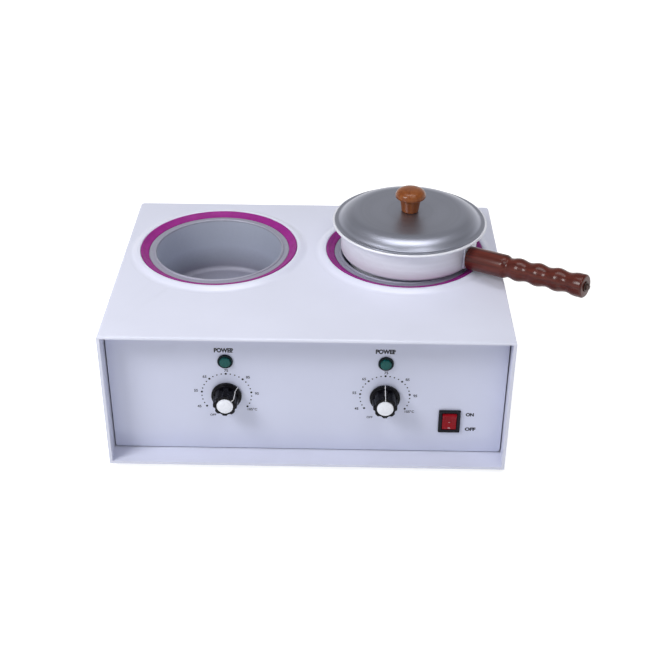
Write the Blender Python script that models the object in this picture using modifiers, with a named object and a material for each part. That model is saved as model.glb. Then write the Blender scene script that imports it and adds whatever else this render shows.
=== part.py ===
"""Double wax warmer: a sheet-metal case with two heating wells, a lidded pan with a turned wooden handle in
the right well, two temperature dials, two pilot lamps and a rocker switch.

Units are metres, +Z is up, +X is to the right as one faces the dials, and -Y is the front.
"""

import math

import bmesh
import bpy
from mathutils import Matrix, Vector

# General clearances and construction values
SEAT_GAP = 0.0003            # left between two pieces that touch
OVERRUN = 0.002              # how far a cutter runs past the face it opens
WELD_DISTANCE = 0.00001
ROUND_STEPS = 32             # facets of the wells, the pan and the lid, a multiple of 8
MEDIUM_STEPS = 16            # facets of knobs, handle and lamps
FOOT_STEPS = 12
SMALL_STEPS = 8              # facets of screws, nuts and pins
FULL_TURN = 2 * math.pi
QUARTER_TURN = math.pi / 2
FACET = FULL_TURN / ROUND_STEPS
FLAT_SHARE = math.cos(FACET / 2)   # distance to the middle of a facet, as a share of the radius
SHARP_ANGLE = math.radians(35)
SCREW_MERGE = 0.0001
ROUND_PROFILE = 0.5          # a rounded edge is an arc

# Case of painted sheet steel
CASE_WIDTH = 0.400
CASE_DEPTH = 0.290
CASE_HEIGHT = 0.1525
SHEET = 0.0015
CASE_BACK_RADIUS = 0.006
CASE_TOP_RADIUS = 0.0025
HEM_DEPTH = 0.010            # the front edges are folded back on themselves
HEM_THICKNESS = 2 * SHEET
FRONT_LEDGE = 0.042          # flange turned in under the case at the front, two sheets thick
SIDE_LEDGE = 0.020           # the same at the sides and the back

# Base plate, its screws and the feet
BASE_INSET = 0.004
BASE_CORNER_RADIUS = 0.006
FOOT_RADIUS = 0.009
FOOT_TAPER = 0.0012
FOOT_HEIGHT = 0.005
FOOT_NECK_RADIUS = 0.003
FOOT_BARB_RADIUS = 0.0046
FOOT_BARB_HEIGHT = 0.003
FOOT_SIDE_INSET = 0.035      # insets are measured from the case's outer faces
FOOT_FRONT_INSET = 0.050
FOOT_BACK_INSET = 0.033
FOOT_X = CASE_WIDTH / 2 - FOOT_SIDE_INSET
FOOT_FRONT_Y = FOOT_FRONT_INSET - CASE_DEPTH / 2
FOOT_BACK_Y = CASE_DEPTH / 2 - FOOT_BACK_INSET
BASE_SCREW_INSET = 0.050
BASE_SCREW_X = CASE_WIDTH / 2 - BASE_SCREW_INSET
BASE_SCREW_RADIUS = 0.0019
BASE_SCREW_HEAD_RADIUS = 0.0038
BASE_SCREW_HEAD = 0.0021
BASE_SCREW_TAIL = 0.003

# Front panel, set back inside the case
PANEL_RECESS = 0.0245
PANEL_SIDE_GAP = 0.0012
PANEL_CORNER_RADIUS = 0.0025
PANEL_FLANGE = 0.014
PANEL_JOGGLE = 0.006         # the lower flange steps down on to the ledge this far back

# Raised collar round each opening, pressed into the top of the case
COLLAR_MARGIN = 0.0065       # from the case's side to the collar's foot
COLLAR_BACK_MARGIN = 0.0155
COLLAR_SPACING = 0.0110      # between the feet of the two collars
COLLAR_SLOPE = 0.0078        # from the foot in to the crest
COLLAR_LIP = 0.0024          # from the crest in to the seat
COLLAR_HEIGHT = 0.0032
COLLAR_FOOT_RADIUS = (CASE_WIDTH - 2 * COLLAR_MARGIN - COLLAR_SPACING) / 4
COLLAR_CREST_RADIUS = COLLAR_FOOT_RADIUS - COLLAR_SLOPE
SEAT_RADIUS = COLLAR_CREST_RADIUS - COLLAR_LIP   # the seal ring drops into this
SHELF_DROP = 0.0026
WELL_X = COLLAR_FOOT_RADIUS + COLLAR_SPACING / 2
WELL_Y = CASE_DEPTH / 2 - COLLAR_BACK_MARGIN - COLLAR_FOOT_RADIUS

# Seal ring of magenta silicone
SEAL_WIDTH = 0.0087
SEAL_INNER_RADIUS = SEAT_RADIUS - SEAL_WIDTH
SEAL_CREST_WIDTH = 0.0011
SEAL_DISH = 0.0007
SEAL_INNER_RISE = 0.0001     # the inner edge stands this much above the well's flange

# Heating well, a spun aluminium pot
WELL_FLANGE_CLEARANCE = 0.0004
WELL_FLANGE_WIDTH = 0.0077
WELL_FLANGE_RADIUS = SEAL_INNER_RADIUS - WELL_FLANGE_CLEARANCE
WELL_RADIUS = WELL_FLANGE_RADIUS - WELL_FLANGE_WIDTH
WELL_WALL = 0.0015
WELL_DEPTH = 0.062
SHELF_CLEARANCE = 0.0035     # from the well's inside to the shelf that its flange lies on
SHELF_INNER_RADIUS = WELL_RADIUS + SHELF_CLEARANCE
WELL_FLANGE_DROP = 0.0008
WELL_BEAD_WIDTH = 0.0028
WELL_BEAD_HEIGHT = 0.0013
WELL_FILLET = 0.006
WELL_STUD_RADIUS = 0.003
WELL_STUD_LENGTH = 0.013

# Bridge under each well and its nut
BRIDGE_CLEARANCE = 0.0005
BRIDGE_LEG = COLLAR_FOOT_RADIUS + BRIDGE_CLEARANCE   # from the well's axis to each leg
BRIDGE_FOOT = 0.011
BRIDGE_WIDTH = 0.025
NUT_ACROSS_FLATS = 0.010
NUT_HEIGHT = 0.005

# Heater band and its clamp screw
BAND_THICKNESS = 0.0024
BAND_HEIGHT = 0.030
BAND_DROP = 0.014            # top of the band below the case's top face
BAND_GAP_ANGLE = math.radians(3.6)
BAND_LUG = 0.012
BAND_TURN = FULL_TURN / 8    # the split faces the front and the middle of the case
CLAMP_SCREW_RADIUS = 0.0019
CLAMP_SCREW_HEAD_RADIUS = 0.0036
CLAMP_SCREW_HEAD = 0.0024
CLAMP_SCREW_TAIL = 0.004

# Thermostat with a threaded neck through the panel, and its nut
THERMOSTAT_WIDTH = 0.036
THERMOSTAT_DEPTH = 0.024
THERMOSTAT_HEIGHT = 0.042
THERMOSTAT_BEVEL = 0.002
NECK_RADIUS = 0.0048
NECK_NUT_ACROSS_FLATS = 0.014
NECK_NUT_HEIGHT = 0.0022
NECK_END = 0.0006            # the neck passes its nut by this much
SHAFT_RADIUS = 0.003
SHAFT_SOCKET = 0.005
TAB_WIDTH = 0.0063
TAB_THICKNESS = 0.0008
TAB_LENGTH = 0.008
TAB_SPACING = 0.018

# Sensor under each well: a bulb drawn out of its capillary, held by two clips
BULB_RADIUS = 0.003
BULB_LENGTH = 0.060
BULB_X = 0.022               # beside the well's axis, towards the middle of the case
CLIP_THICKNESS = 0.0008
CLIP_WIDTH = 0.008
CLIP_FOOT = 0.005
CLIP_SPACING = 0.036
CAPILLARY_RADIUS = 0.0009
CAPILLARY_RISE = 0.012       # it leaves the thermostat above the middle
CAPILLARY_LEAD = 0.012
CAPILLARY_BOW = 0.009

# Wires
WIRE_RADIUS = 0.0014
WIRE_LEAD = 0.010
WIRE_SAG = 0.012
ROUTE_STEPS = 2              # points to each leg of a wire's or capillary's route

# Dials
LEFT_DIAL_INSET = 0.0189     # from the well's axis towards the middle of the case
RIGHT_DIAL_INSET = 0.0219
LEFT_DIAL_X = LEFT_DIAL_INSET - WELL_X
RIGHT_DIAL_X = WELL_X - RIGHT_DIAL_INSET
DIAL_HEIGHT = 0.0707         # above the case's lower edge
LEFT_DIAL_TURN = math.radians(48)
RIGHT_DIAL_TURN = 0.0
KNOB_STANDOFF = 0.0018
KNOB_SKIRT_RADIUS = 0.0152
KNOB_SKIRT = 0.0024
KNOB_HOLLOW_CLEARANCE = 0.0006
KNOB_SHOULDER_RADIUS = 0.0138
KNOB_SHOULDER = 0.0016
KNOB_GRIP_RADIUS = 0.0126
KNOB_FRONT_RADIUS = 0.0119
KNOB_LENGTH = 0.0205         # from the panel to the grip's front edge
KNOB_EDGE = 0.0008
KNOB_LOBES = 8
KNOB_SCALLOP_RADIUS = 0.0034
KNOB_SCALLOP_DEPTH = 0.0014
CAP_RADIUS = 0.0081
CAP_SEAT = 0.0012
CAP_RISE = 0.0014
CAP_DOME = 0.0004
SHAFT_IN_KNOB = 0.012

# Pilot lamps
LAMP_HEIGHT = 0.1107
LAMP_BEZEL_RADIUS = 0.0077
LAMP_BEZEL = 0.0018
LAMP_BARREL_RADIUS = 0.0058
LAMP_BARREL_LENGTH = 0.024
LAMP_LENS_RADIUS = 0.0055
LAMP_LENS_SEAT = 0.0012
LAMP_LENS_RISE = 0.0024
LAMP_NUT_ACROSS_FLATS = 0.016
LAMP_NUT = 0.003

# Rocker switch
SWITCH_INSET = 0.0565
SWITCH_X = CASE_WIDTH / 2 - SWITCH_INSET
SWITCH_HEIGHT = 0.0425
SWITCH_BEZEL_WIDTH = 0.0220
SWITCH_BEZEL_HEIGHT = 0.0270
SWITCH_BEZEL = 0.0020
SWITCH_BEZEL_CHAMFER = 0.0008
SWITCH_BODY_WIDTH = 0.0194
SWITCH_BODY_HEIGHT = 0.0244
SWITCH_BODY_DEPTH = 0.022
ROCKER_WIDTH = 0.0142
ROCKER_RADIUS = 0.0096       # its ends are arcs about the pivot
ROCKER_CORNER_ANGLE = math.radians(20)
ROCKER_VALLEY = 0.0022       # from the pivot forward to the middle of its face
ROCKER_BACK = 0.0040
ROCKER_TILT = math.radians(7)
SWITCH_CAVITY_DEPTH = 0.0065
SWITCH_TAB_SPACING_X = 0.0080
SWITCH_TAB_SPACING_Z = 0.0120

# Mains inlet on the back
INLET_INSET = 0.070
INLET_X = CASE_WIDTH / 2 - INLET_INSET
INLET_HEIGHT = 0.045
INLET_FLANGE_WIDTH = 0.050
INLET_FLANGE_HEIGHT = 0.024
INLET_FLANGE = 0.003
INLET_CORNER_RADIUS = 0.004
INLET_BODY_WIDTH = 0.0270
INLET_BODY_HEIGHT = 0.0198
INLET_BODY_DEPTH = 0.019
INLET_SOCKET_WIDTH = 0.0235
INLET_SOCKET_HEIGHT = 0.0163
INLET_SOCKET_DEPTH = 0.0165
INLET_SOCKET_CHAMFER = 0.0045
INLET_PIN_WIDTH = 0.0040
INLET_PIN_THICKNESS = 0.0020
INLET_PIN_RECESS = 0.0050
INLET_PIN_SPACING = 0.0070
INLET_PIN_DROP = 0.0020
INLET_PIN_TAIL = 0.0080
INLET_SCREW_SPACING = 0.040
INLET_SCREW_RADIUS = 0.0016
INLET_SCREW_HEAD_RADIUS = 0.0030
INLET_SCREW_HEAD = 0.0016
INLET_SCREW_TAIL = 0.005

# Terminal block and earth stud on the base plate
BLOCK_X = 0.0
BLOCK_INSET = 0.060
BLOCK_Y = CASE_DEPTH / 2 - BLOCK_INSET
BLOCK_POLES = 4
BLOCK_POLE_WIDTH = 0.012
BLOCK_DEPTH = 0.022
BLOCK_HEIGHT = 0.016
BLOCK_GROOVE = 0.002
BLOCK_GROOVE_DEPTH = 0.005
BLOCK_HOLE_RADIUS = 0.0019
BLOCK_SCREW_RADIUS = 0.0026
BLOCK_SCREW_HEIGHT = 0.0012
EARTH_SIDE_INSET = 0.115
EARTH_BACK_INSET = 0.040
EARTH_X = CASE_WIDTH / 2 - EARTH_SIDE_INSET
EARTH_Y = CASE_DEPTH / 2 - EARTH_BACK_INSET
EARTH_STUD_RADIUS = 0.0025
EARTH_STUD_LENGTH = 0.016

# Pan: the upper wall is wider than the well, the lower body goes down into it
PAN_OFFSET = 0.004           # the pan stands this far right of the well's axis
PAN_STEP = 0.005             # the upper wall stands this far outside the well's wall
PAN_CLEARANCE = 0.005        # and the lower body this far inside it
PAN_RADIUS = WELL_RADIUS + PAN_STEP
PAN_LOWER_RADIUS = WELL_RADIUS - PAN_CLEARANCE
PAN_WALL = 0.0015
PAN_STEP_RISE = 0.0028       # underside of the step above the case's top face
PAN_STEP_FILLET = 0.0035
PAN_FILLET = 0.006
PAN_FLARE = 0.0078
PAN_FLARE_HEIGHT = 0.0318
PAN_RIM_HEIGHT = 0.0364      # middle of the rolled rim above the case's top face
PAN_RIM_RADIUS = PAN_RADIUS + PAN_FLARE
PAN_RIM_ROLL = 0.0015

# Lid
LID_INBOARD = 0.0010         # the lid's edge lies this far in from the middle of the rolled rim
LID_SHOULDER = 0.0218
LID_RADIUS = PAN_RIM_RADIUS - LID_INBOARD
LID_SHEET = 0.0012
LID_FLAT_RADIUS = LID_RADIUS - LID_SHOULDER
LID_RISE = 0.0102            # flat top above the seat on the pan's rim
LID_EDGE = 0.0012
LID_SPIGOT_CLEARANCE = 0.0006
LID_SPIGOT = 0.0045
SHOULDER_POINTS = 4

# Lid knob of varnished wood, and its screw
LID_KNOB_FOOT_RADIUS = 0.0090
LID_KNOB_NECK_RADIUS = 0.0112
LID_KNOB_RADIUS = 0.0166
LID_KNOB_STEM = 0.0160
LID_KNOB_HEIGHT = 0.0250
LID_KNOB_UNDERCUT = 0.0018
LID_KNOB_BORE = 0.014
LID_SCREW_RADIUS = 0.0019
LID_SCREW_HEAD_RADIUS = 0.0040
LID_SCREW_HEAD = 0.0022
LID_SCREW_LENGTH = 0.012

# Handle of turned wood, its bracket and the bolt through it
HANDLE_AZIMUTH = math.radians(-36)
HANDLE_ELEVATION = math.radians(5)
HANDLE_STANDOFF = 0.0042
HANDLE_ROOT_RADIUS = PAN_RADIUS + HANDLE_STANDOFF   # from the pan's axis to the root of the handle
HANDLE_HEIGHT = 0.0170       # axis at the root above the case's top face
HANDLE_LENGTH = 0.1305
HANDLE_RADIUS = 0.0121
HANDLE_MID_RADIUS = 0.0109
HANDLE_WAVE = 0.00095
HANDLE_CRESTS = 4
HANDLE_PLAIN_SHARE = 0.4383  # the first crest's place along the handle
HANDLE_TAIL = 0.0082         # from the last crest to the end
HANDLE_FIRST_CREST = HANDLE_LENGTH * HANDLE_PLAIN_SHARE
HANDLE_WAVE_PITCH = (HANDLE_LENGTH - HANDLE_TAIL - HANDLE_FIRST_CREST) / (HANDLE_CRESTS - 1)
HANDLE_WAVE_POINTS = 4
HANDLE_END_ROUND = 0.0022
HANDLE_ROOT_ROUND = 0.0010
HANDLE_BORE_RADIUS = 0.0032
BOLT_RADIUS = 0.0028
BOLT_INTO_BOSS = 0.0025
END_NUT_RADIUS = 0.0042
END_NUT_HEIGHT = 0.0042
END_WASHER_RADIUS = 0.0060
END_WASHER = 0.0010
BRACKET_SHEET = 0.0020
BRACKET_HALF_ANGLE = math.radians(5.6)
BRACKET_LOW = 0.0062         # lower and upper ends above the case's top face
BRACKET_HIGH = 0.0300
BOSS_RADIUS = 0.0046
RIVET_RADIUS = 0.0019
RIVET_HEAD_RADIUS = 0.0030
RIVET_HEAD = 0.0014
RIVET_SPACING = 0.0152

# Heights and places that follow from the sizes above
BASE_Z = FOOT_HEIGHT + SEAT_GAP                      # underside of the base plate
CASE_Z = BASE_Z + SHEET + SEAT_GAP                   # underside of the case's ledge
TOP_Z = CASE_Z + CASE_HEIGHT                         # top face of the case
PANEL_Y = -CASE_DEPTH / 2 + PANEL_RECESS             # front face of the panel
PANEL_BACK_Y = PANEL_Y + SHEET
THERMOSTAT_FRONT_Y = PANEL_BACK_Y + SEAT_GAP
THERMOSTAT_BACK_Y = THERMOSTAT_FRONT_Y + THERMOSTAT_DEPTH
NECK_FRONT = 2 * SEAT_GAP + NECK_NUT_HEIGHT + NECK_END   # the neck's end, in front of the panel
WELL_FLANGE_Z = -WELL_FLANGE_DROP                    # these are measured from the top face
WELL_FLOOR_Z = WELL_FLANGE_Z - WELL_DEPTH
WELL_BOTTOM_Z = WELL_FLOOR_Z - WELL_WALL
PAN_X = WELL_X + PAN_OFFSET
PAN_BOTTOM_Z = WELL_FLOOR_Z + SEAT_GAP
LID_SEAT_Z = PAN_RIM_HEIGHT + math.sqrt((PAN_RIM_ROLL + SEAT_GAP) ** 2 - LID_INBOARD**2)
LID_TOP_Z = LID_SEAT_Z + LID_RISE

parts = None
cutters = None


def clear_scene():
    for item in list(bpy.data.objects):
        bpy.data.objects.remove(item, do_unlink=True)


def make_collections():
    global parts, cutters
    parts = bpy.data.collections.new("double_wax_warmer")
    cutters = bpy.data.collections.new("cutters")
    bpy.context.scene.collection.children.link(parts)
    bpy.context.scene.collection.children.link(cutters)


def make_material(name, colour, roughness, metallic=0.0):
    material = bpy.data.materials.new(name)
    material.use_nodes = True
    shader = material.node_tree.nodes["Principled BSDF"]
    shader.inputs["Base Color"].default_value = (*colour, 1.0)
    shader.inputs["Roughness"].default_value = roughness
    shader.inputs["Metallic"].default_value = metallic
    return material


def make_materials():
    return {
        "paint": make_material("white_paint", (0.72, 0.74, 0.84), 0.35),
        "panel": make_material("panel_paint", (0.60, 0.63, 0.74), 0.40),
        "zinc": make_material("zinc_plate", (0.55, 0.56, 0.58), 0.40, 1.0),
        "steel": make_material("steel", (0.60, 0.60, 0.62), 0.30, 1.0),
        "aluminium": make_material("aluminium", (0.66, 0.67, 0.72), 0.32, 1.0),
        "silicone": make_material("magenta_silicone", (0.50, 0.05, 0.32), 0.50),
        "rubber": make_material("black_rubber", (0.02, 0.02, 0.02), 0.80),
        "plastic": make_material("black_plastic", (0.015, 0.015, 0.018), 0.30),
        "cap": make_material("white_cap", (0.80, 0.80, 0.86), 0.35),
        "lens": make_material("green_lens", (0.01, 0.22, 0.16), 0.15),
        "rocker": make_material("red_rocker", (0.55, 0.01, 0.01), 0.25),
        "band": make_material("heater_band_steel", (0.42, 0.40, 0.36), 0.50, 1.0),
        "copper": make_material("copper", (0.72, 0.38, 0.22), 0.35, 1.0),
        "ceramic": make_material("pale_ceramic", (0.80, 0.78, 0.72), 0.55),
        "wire": make_material("wire_sleeve", (0.45, 0.10, 0.05), 0.60),
        "dark_wood": make_material("dark_red_wood", (0.10, 0.012, 0.008), 0.18),
        "light_wood": make_material("orange_wood", (0.42, 0.12, 0.02), 0.22),
    }


# Placing and shaping helpers


def place(item, parent=None, location=(0, 0, 0), rotation=(0, 0, 0)):
    item.parent = parent
    item.location = location
    item.rotation_euler = rotation
    return item


def add_empty(name, parent, location, rotation=(0, 0, 0)):
    empty = bpy.data.objects.new(name, None)
    parts.objects.link(empty)
    return place(empty, parent, location, rotation)


def add_object(name, mesh, material=None):
    """A part when it has a material, otherwise a cutter or a shape that is joined to a part."""
    item = bpy.data.objects.new(name, mesh)
    if material is None:
        cutters.objects.link(item)
        item.hide_render = True
        item.display_type = "WIRE"
    else:
        parts.objects.link(item)
        if not mesh.materials:
            mesh.materials.append(material)
    return item


def mesh_from(name, bm):
    mesh = bpy.data.meshes.new(name)
    bm.to_mesh(mesh)
    bm.free()
    return mesh


def evaluated_mesh(item):
    """The object's mesh with its modifiers applied and its seams welded; the object itself is removed."""
    bpy.context.view_layer.update()
    graph = bpy.context.evaluated_depsgraph_get()
    mesh = bpy.data.meshes.new_from_object(item.evaluated_get(graph))
    bpy.data.objects.remove(item, do_unlink=True)
    bm = bmesh.new()
    bm.from_mesh(mesh)
    bmesh.ops.remove_doubles(bm, verts=bm.verts, dist=WELD_DISTANCE)
    bmesh.ops.recalc_face_normals(bm, faces=bm.faces)
    bm.to_mesh(mesh)
    bm.free()
    mesh.materials.clear()
    return mesh


def turned_mesh(name, outline, steps=MEDIUM_STEPS):
    """A solid turned about Z. The outline closes by itself unless both its ends are on the axis."""
    bm = bmesh.new()
    points = [bm.verts.new((radius, 0, height)) for radius, height in outline]
    for first, second in zip(points, points[1:]):
        bm.edges.new((first, second))
    if outline[0][0] > 0:
        bm.edges.new((points[-1], points[0]))
    item = add_object(name, mesh_from(name, bm))
    screw = item.modifiers.new("turn", "SCREW")
    screw.axis = "Z"
    screw.steps = steps
    screw.render_steps = steps
    screw.use_merge_vertices = True
    screw.merge_threshold = SCREW_MERGE
    return evaluated_mesh(item)


def turned(name, outline, material=None, steps=MEDIUM_STEPS):
    return add_object(name, turned_mesh(name, outline, steps), material)


def round_edges(bm, edges, radius, segments=1):
    bmesh.ops.bevel(bm, geom=edges, offset=radius, segments=segments, profile=ROUND_PROFILE, affect="EDGES")


def box(name, size, centre, material=None, bevel=0.0):
    bm = bmesh.new()
    bmesh.ops.create_cube(bm, size=1)
    bmesh.ops.scale(bm, vec=size, verts=bm.verts)
    bmesh.ops.translate(bm, vec=centre, verts=bm.verts)
    if bevel:
        round_edges(bm, bm.edges[:], bevel)
    return add_object(name, mesh_from(name, bm), material)


def span_box(name, low, high, material=None):
    size = [b - a for a, b in zip(low, high)]
    centre = [(a + b) / 2 for a, b in zip(low, high)]
    return box(name, size, centre, material)


def cylinder_mesh(name, radius, low, high, steps=SMALL_STEPS):
    bm = bmesh.new()
    bmesh.ops.create_cone(bm, cap_ends=True, segments=steps, radius1=radius, radius2=radius, depth=high - low)
    bmesh.ops.translate(bm, vec=(0, 0, (low + high) / 2), verts=bm.verts)
    return mesh_from(name, bm)


def cylinder(name, radius, low, high, material=None, steps=SMALL_STEPS):
    return add_object(name, cylinder_mesh(name, radius, low, high, steps), material)


def extruded(name, outline, depth, material=None):
    """A flat outline in X and Y, given thickness along Z about its middle plane."""
    curve = bpy.data.curves.new(name, "CURVE")
    curve.dimensions = "2D"
    curve.fill_mode = "BOTH"
    curve.extrude = depth / 2
    spline = curve.splines.new("POLY")
    spline.points.add(len(outline) - 1)
    for point, (x, y) in zip(spline.points, outline):
        point.co = (x, y, 0, 1)
    spline.use_cyclic_u = True
    flat = bpy.data.objects.new(name, curve)
    cutters.objects.link(flat)
    return add_object(name, evaluated_mesh(flat), material)


def patterned(name, mesh, matrices):
    """One cutter, or one shape to join, made of copies of a mesh."""
    bm = bmesh.new()
    for matrix in matrices:
        start = len(bm.verts)
        bm.from_mesh(mesh)
        bm.verts.ensure_lookup_table()
        bmesh.ops.transform(bm, matrix=matrix, verts=bm.verts[start:])
    return add_object(name, mesh_from(name, bm))


def boolean(target, tool, operation):
    modifier = target.modifiers.new(tool.name, "BOOLEAN")
    modifier.operation = operation
    modifier.object = tool
    modifier.solver = "EXACT"


def cut(target, *tools):
    for tool in tools:
        boolean(target, tool, "DIFFERENCE")


def join(target, *tools):
    for tool in tools:
        boolean(target, tool, "UNION")


def arc(centre, radius_x, radius_y, start, end, count):
    """Points along an elliptical arc, both ends included."""
    turn = (end - start) / (count - 1)
    return [
        (centre[0] + radius_x * math.cos(start + turn * i), centre[1] + radius_y * math.sin(start + turn * i))
        for i in range(count)
    ]


def rounded_rectangle(width, height, radius, corner_points=4, square_below=False):
    half_x, half_y = width / 2, height / 2
    x, y = half_x - radius, half_y - radius
    corners = [((x, y), 0), ((-x, y), QUARTER_TURN)]
    if not square_below:
        corners += [((-x, -y), 2 * QUARTER_TURN), ((x, -y), 3 * QUARTER_TURN)]
    outline = []
    for centre, angle in corners:
        outline += arc(centre, radius, radius, angle, angle + QUARTER_TURN, corner_points)
    if square_below:
        outline += [(-half_x, -half_y), (half_x, -half_y)]
    return outline


def strip_outline(path, thickness):
    """The outline of a bent strip: the path offset by half the thickness each way, with mitred corners."""
    sides = ([], [])
    for i, point in enumerate(path):
        here = Vector(point)
        before = (here - Vector(path[i - 1])).normalized() if i else None
        after = (Vector(path[i + 1]) - here).normalized() if i + 1 < len(path) else None
        before = before or after
        after = after or before
        normal_before = Vector((-before.y, before.x))
        normal_after = Vector((-after.y, after.x))
        mitre = (normal_before + normal_after).normalized()
        reach = thickness / 2 / mitre.dot(normal_before)
        sides[0].append(tuple(here + mitre * reach))
        sides[1].append(tuple(here - mitre * reach))
    return sides[0] + sides[1][::-1]


def hexagon(across_flats):
    radius = across_flats / math.sqrt(3)
    return [(radius * math.cos(i * math.pi / 3), radius * math.sin(i * math.pi / 3)) for i in range(6)]


def screw_mesh(name, head_radius, head, radius, length):
    """A pan-head screw: its head's underside is at zero, its head is above and its shank runs down."""
    outline = [(0, head), (head_radius * 0.6, head), (head_radius, head / 2), (head_radius, 0)]
    outline += [(radius, 0), (radius, -length), (0, -length)]
    return turned_mesh(name, outline, SMALL_STEPS)


def nut_mesh(name, across_flats, height, bore):
    nut = extruded(name, hexagon(across_flats), height)
    hole = cylinder(name + "_hole", bore, -height, height, steps=MEDIUM_STEPS)
    cut(nut, hole)
    mesh = evaluated_mesh(nut)
    bpy.data.objects.remove(hole, do_unlink=True)
    return mesh


def led_route(start, start_lead, middle, end, end_lead):
    """A route that leaves both its ends straight."""
    first = [start, start + start_lead / 2, start + start_lead]
    last = [end + end_lead, end + end_lead / 2, end]
    return smooth_route(first + middle + last, ROUTE_STEPS)


def smooth_route(route, per_leg):
    """Points along a Catmull-Rom curve through the route's own points."""
    ends = [route[0] * 2 - route[1]] + route + [route[-1] * 2 - route[-2]]
    points = []
    for i in range(1, len(ends) - 2):
        a, b, c, d = ends[i - 1 : i + 3]
        for step in range(per_leg):
            t = step / per_leg
            bend = (2 * a - 5 * b + 4 * c - d) * t**2 + (3 * b - a - 3 * c + d) * t**3
            points.append((2 * b + (c - a) * t + bend) / 2)
    return points + [route[-1]]


def tube(name, points, radii, material):
    """A round tube through the points, with a radius at each."""
    curve = bpy.data.curves.new(name, "CURVE")
    curve.dimensions = "3D"
    curve.bevel_depth = max(radii)
    curve.bevel_resolution = 1
    curve.use_fill_caps = True
    spline = curve.splines.new("POLY")
    spline.points.add(len(points) - 1)
    for target, point, radius in zip(spline.points, points, radii):
        target.co = (*point, 1)
        target.radius = radius / curve.bevel_depth
    curve.materials.append(material)
    item = bpy.data.objects.new(name, curve)
    parts.objects.link(item)
    return item


# The case


def make_case_shell(materials, root):
    bm = bmesh.new()
    bmesh.ops.create_cube(bm, size=1)
    bmesh.ops.scale(bm, vec=(CASE_WIDTH, CASE_DEPTH, CASE_HEIGHT), verts=bm.verts)
    bmesh.ops.translate(bm, vec=(0, 0, CASE_Z + CASE_HEIGHT / 2), verts=bm.verts)
    at_back = [e for e in bm.edges if all(v.co.y > 0 for v in e.verts)]
    uprights = [e for e in at_back if e.verts[0].co.x == e.verts[1].co.x]
    round_edges(bm, uprights, CASE_BACK_RADIUS, 4)
    top_face = max(bm.faces, key=lambda face: face.calc_center_median().z)
    round_edges(bm, top_face.edges[:], CASE_TOP_RADIUS, 3)
    shell = place(add_object("case_shell", mesh_from("case_shell", bm), materials["paint"]), root)

    half_width, half_depth = CASE_WIDTH / 2, CASE_DEPTH / 2
    cavity = extruded(
        "case_cavity",
        rounded_rectangle(
            CASE_WIDTH - 2 * SHEET,
            CASE_DEPTH - SHEET - FRONT_LEDGE,
            CASE_BACK_RADIUS - SHEET,
            square_below=True,
        ),
        CASE_HEIGHT - 2 * SHEET,
    )
    cut(shell, place(cavity, root, (0, (FRONT_LEDGE - SHEET) / 2, CASE_Z + CASE_HEIGHT / 2)))
    front_cavity = span_box(
        "case_front_cavity",
        (SHEET - half_width, HEM_DEPTH - half_depth, CASE_Z + HEM_THICKNESS),
        (half_width - SHEET, FRONT_LEDGE - half_depth + OVERRUN, TOP_Z - SHEET),
    )
    mouth = span_box(
        "case_mouth",
        (HEM_THICKNESS - half_width, -half_depth - OVERRUN, CASE_Z + HEM_THICKNESS),
        (half_width - HEM_THICKNESS, HEM_DEPTH - half_depth + OVERRUN, TOP_Z - HEM_THICKNESS),
    )
    floor_opening = span_box(
        "case_floor_opening",
        (SIDE_LEDGE - half_width, FRONT_LEDGE - half_depth, CASE_Z - OVERRUN),
        (half_width - SIDE_LEDGE, half_depth - SIDE_LEDGE, CASE_Z + SHEET + OVERRUN),
    )
    for tool in (front_cavity, mouth, floor_opening):
        cut(shell, place(tool, root))

    hole = cylinder_mesh("well_hole", COLLAR_FOOT_RADIUS - 2 * SHEET, -SHEET - OVERRUN, OVERRUN, ROUND_STEPS)
    wells = [Matrix.Translation((x, WELL_Y, TOP_Z)) for x in (-WELL_X, WELL_X)]
    cut(shell, place(patterned("well_holes", hole, wells), root))

    inlet_hole = extruded(
        "inlet_hole",
        rounded_rectangle(INLET_BODY_WIDTH + 2 * SEAT_GAP, INLET_BODY_HEIGHT + 2 * SEAT_GAP, SEAT_GAP, 2),
        SHEET + 2 * OVERRUN,
    )
    screw_hole = cylinder_mesh("inlet_screw_hole", INLET_SCREW_RADIUS + SEAT_GAP, -OVERRUN, SHEET + OVERRUN)
    spots = [Matrix.Translation((side * INLET_SCREW_SPACING / 2, 0, 0)) for side in (-1, 1)]
    facing_back = (QUARTER_TURN, 0, 0)
    inlet_z = CASE_Z + INLET_HEIGHT
    cut(
        shell,
        place(inlet_hole, root, (INLET_X, half_depth - SHEET / 2, inlet_z), facing_back),
        place(
            patterned("inlet_screw_holes", screw_hole, spots),
            root,
            (INLET_X, half_depth, inlet_z),
            facing_back,
        ),
        base_screw_holes(root, "case_screw_holes", HEM_THICKNESS + OVERRUN),
    )

    wall_radius = SEAT_RADIUS + SHEET
    collar = turned_mesh(
        "collar",
        [
            (COLLAR_CREST_RADIUS, COLLAR_HEIGHT),
            (COLLAR_FOOT_RADIUS, -SHEET / 2),
            (COLLAR_FOOT_RADIUS - SHEET, -SHEET * 0.75),
            (wall_radius, COLLAR_HEIGHT - SHEET),
            (wall_radius, -SHELF_DROP - SHEET),
            (SHELF_INNER_RADIUS, -SHELF_DROP - SHEET),
            (SHELF_INNER_RADIUS, -SHELF_DROP),
            (SEAT_RADIUS, -SHELF_DROP),
            (SEAT_RADIUS, COLLAR_HEIGHT),
        ],
        ROUND_STEPS,
    )
    join(shell, place(patterned("collars", collar, wells), root))


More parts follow.
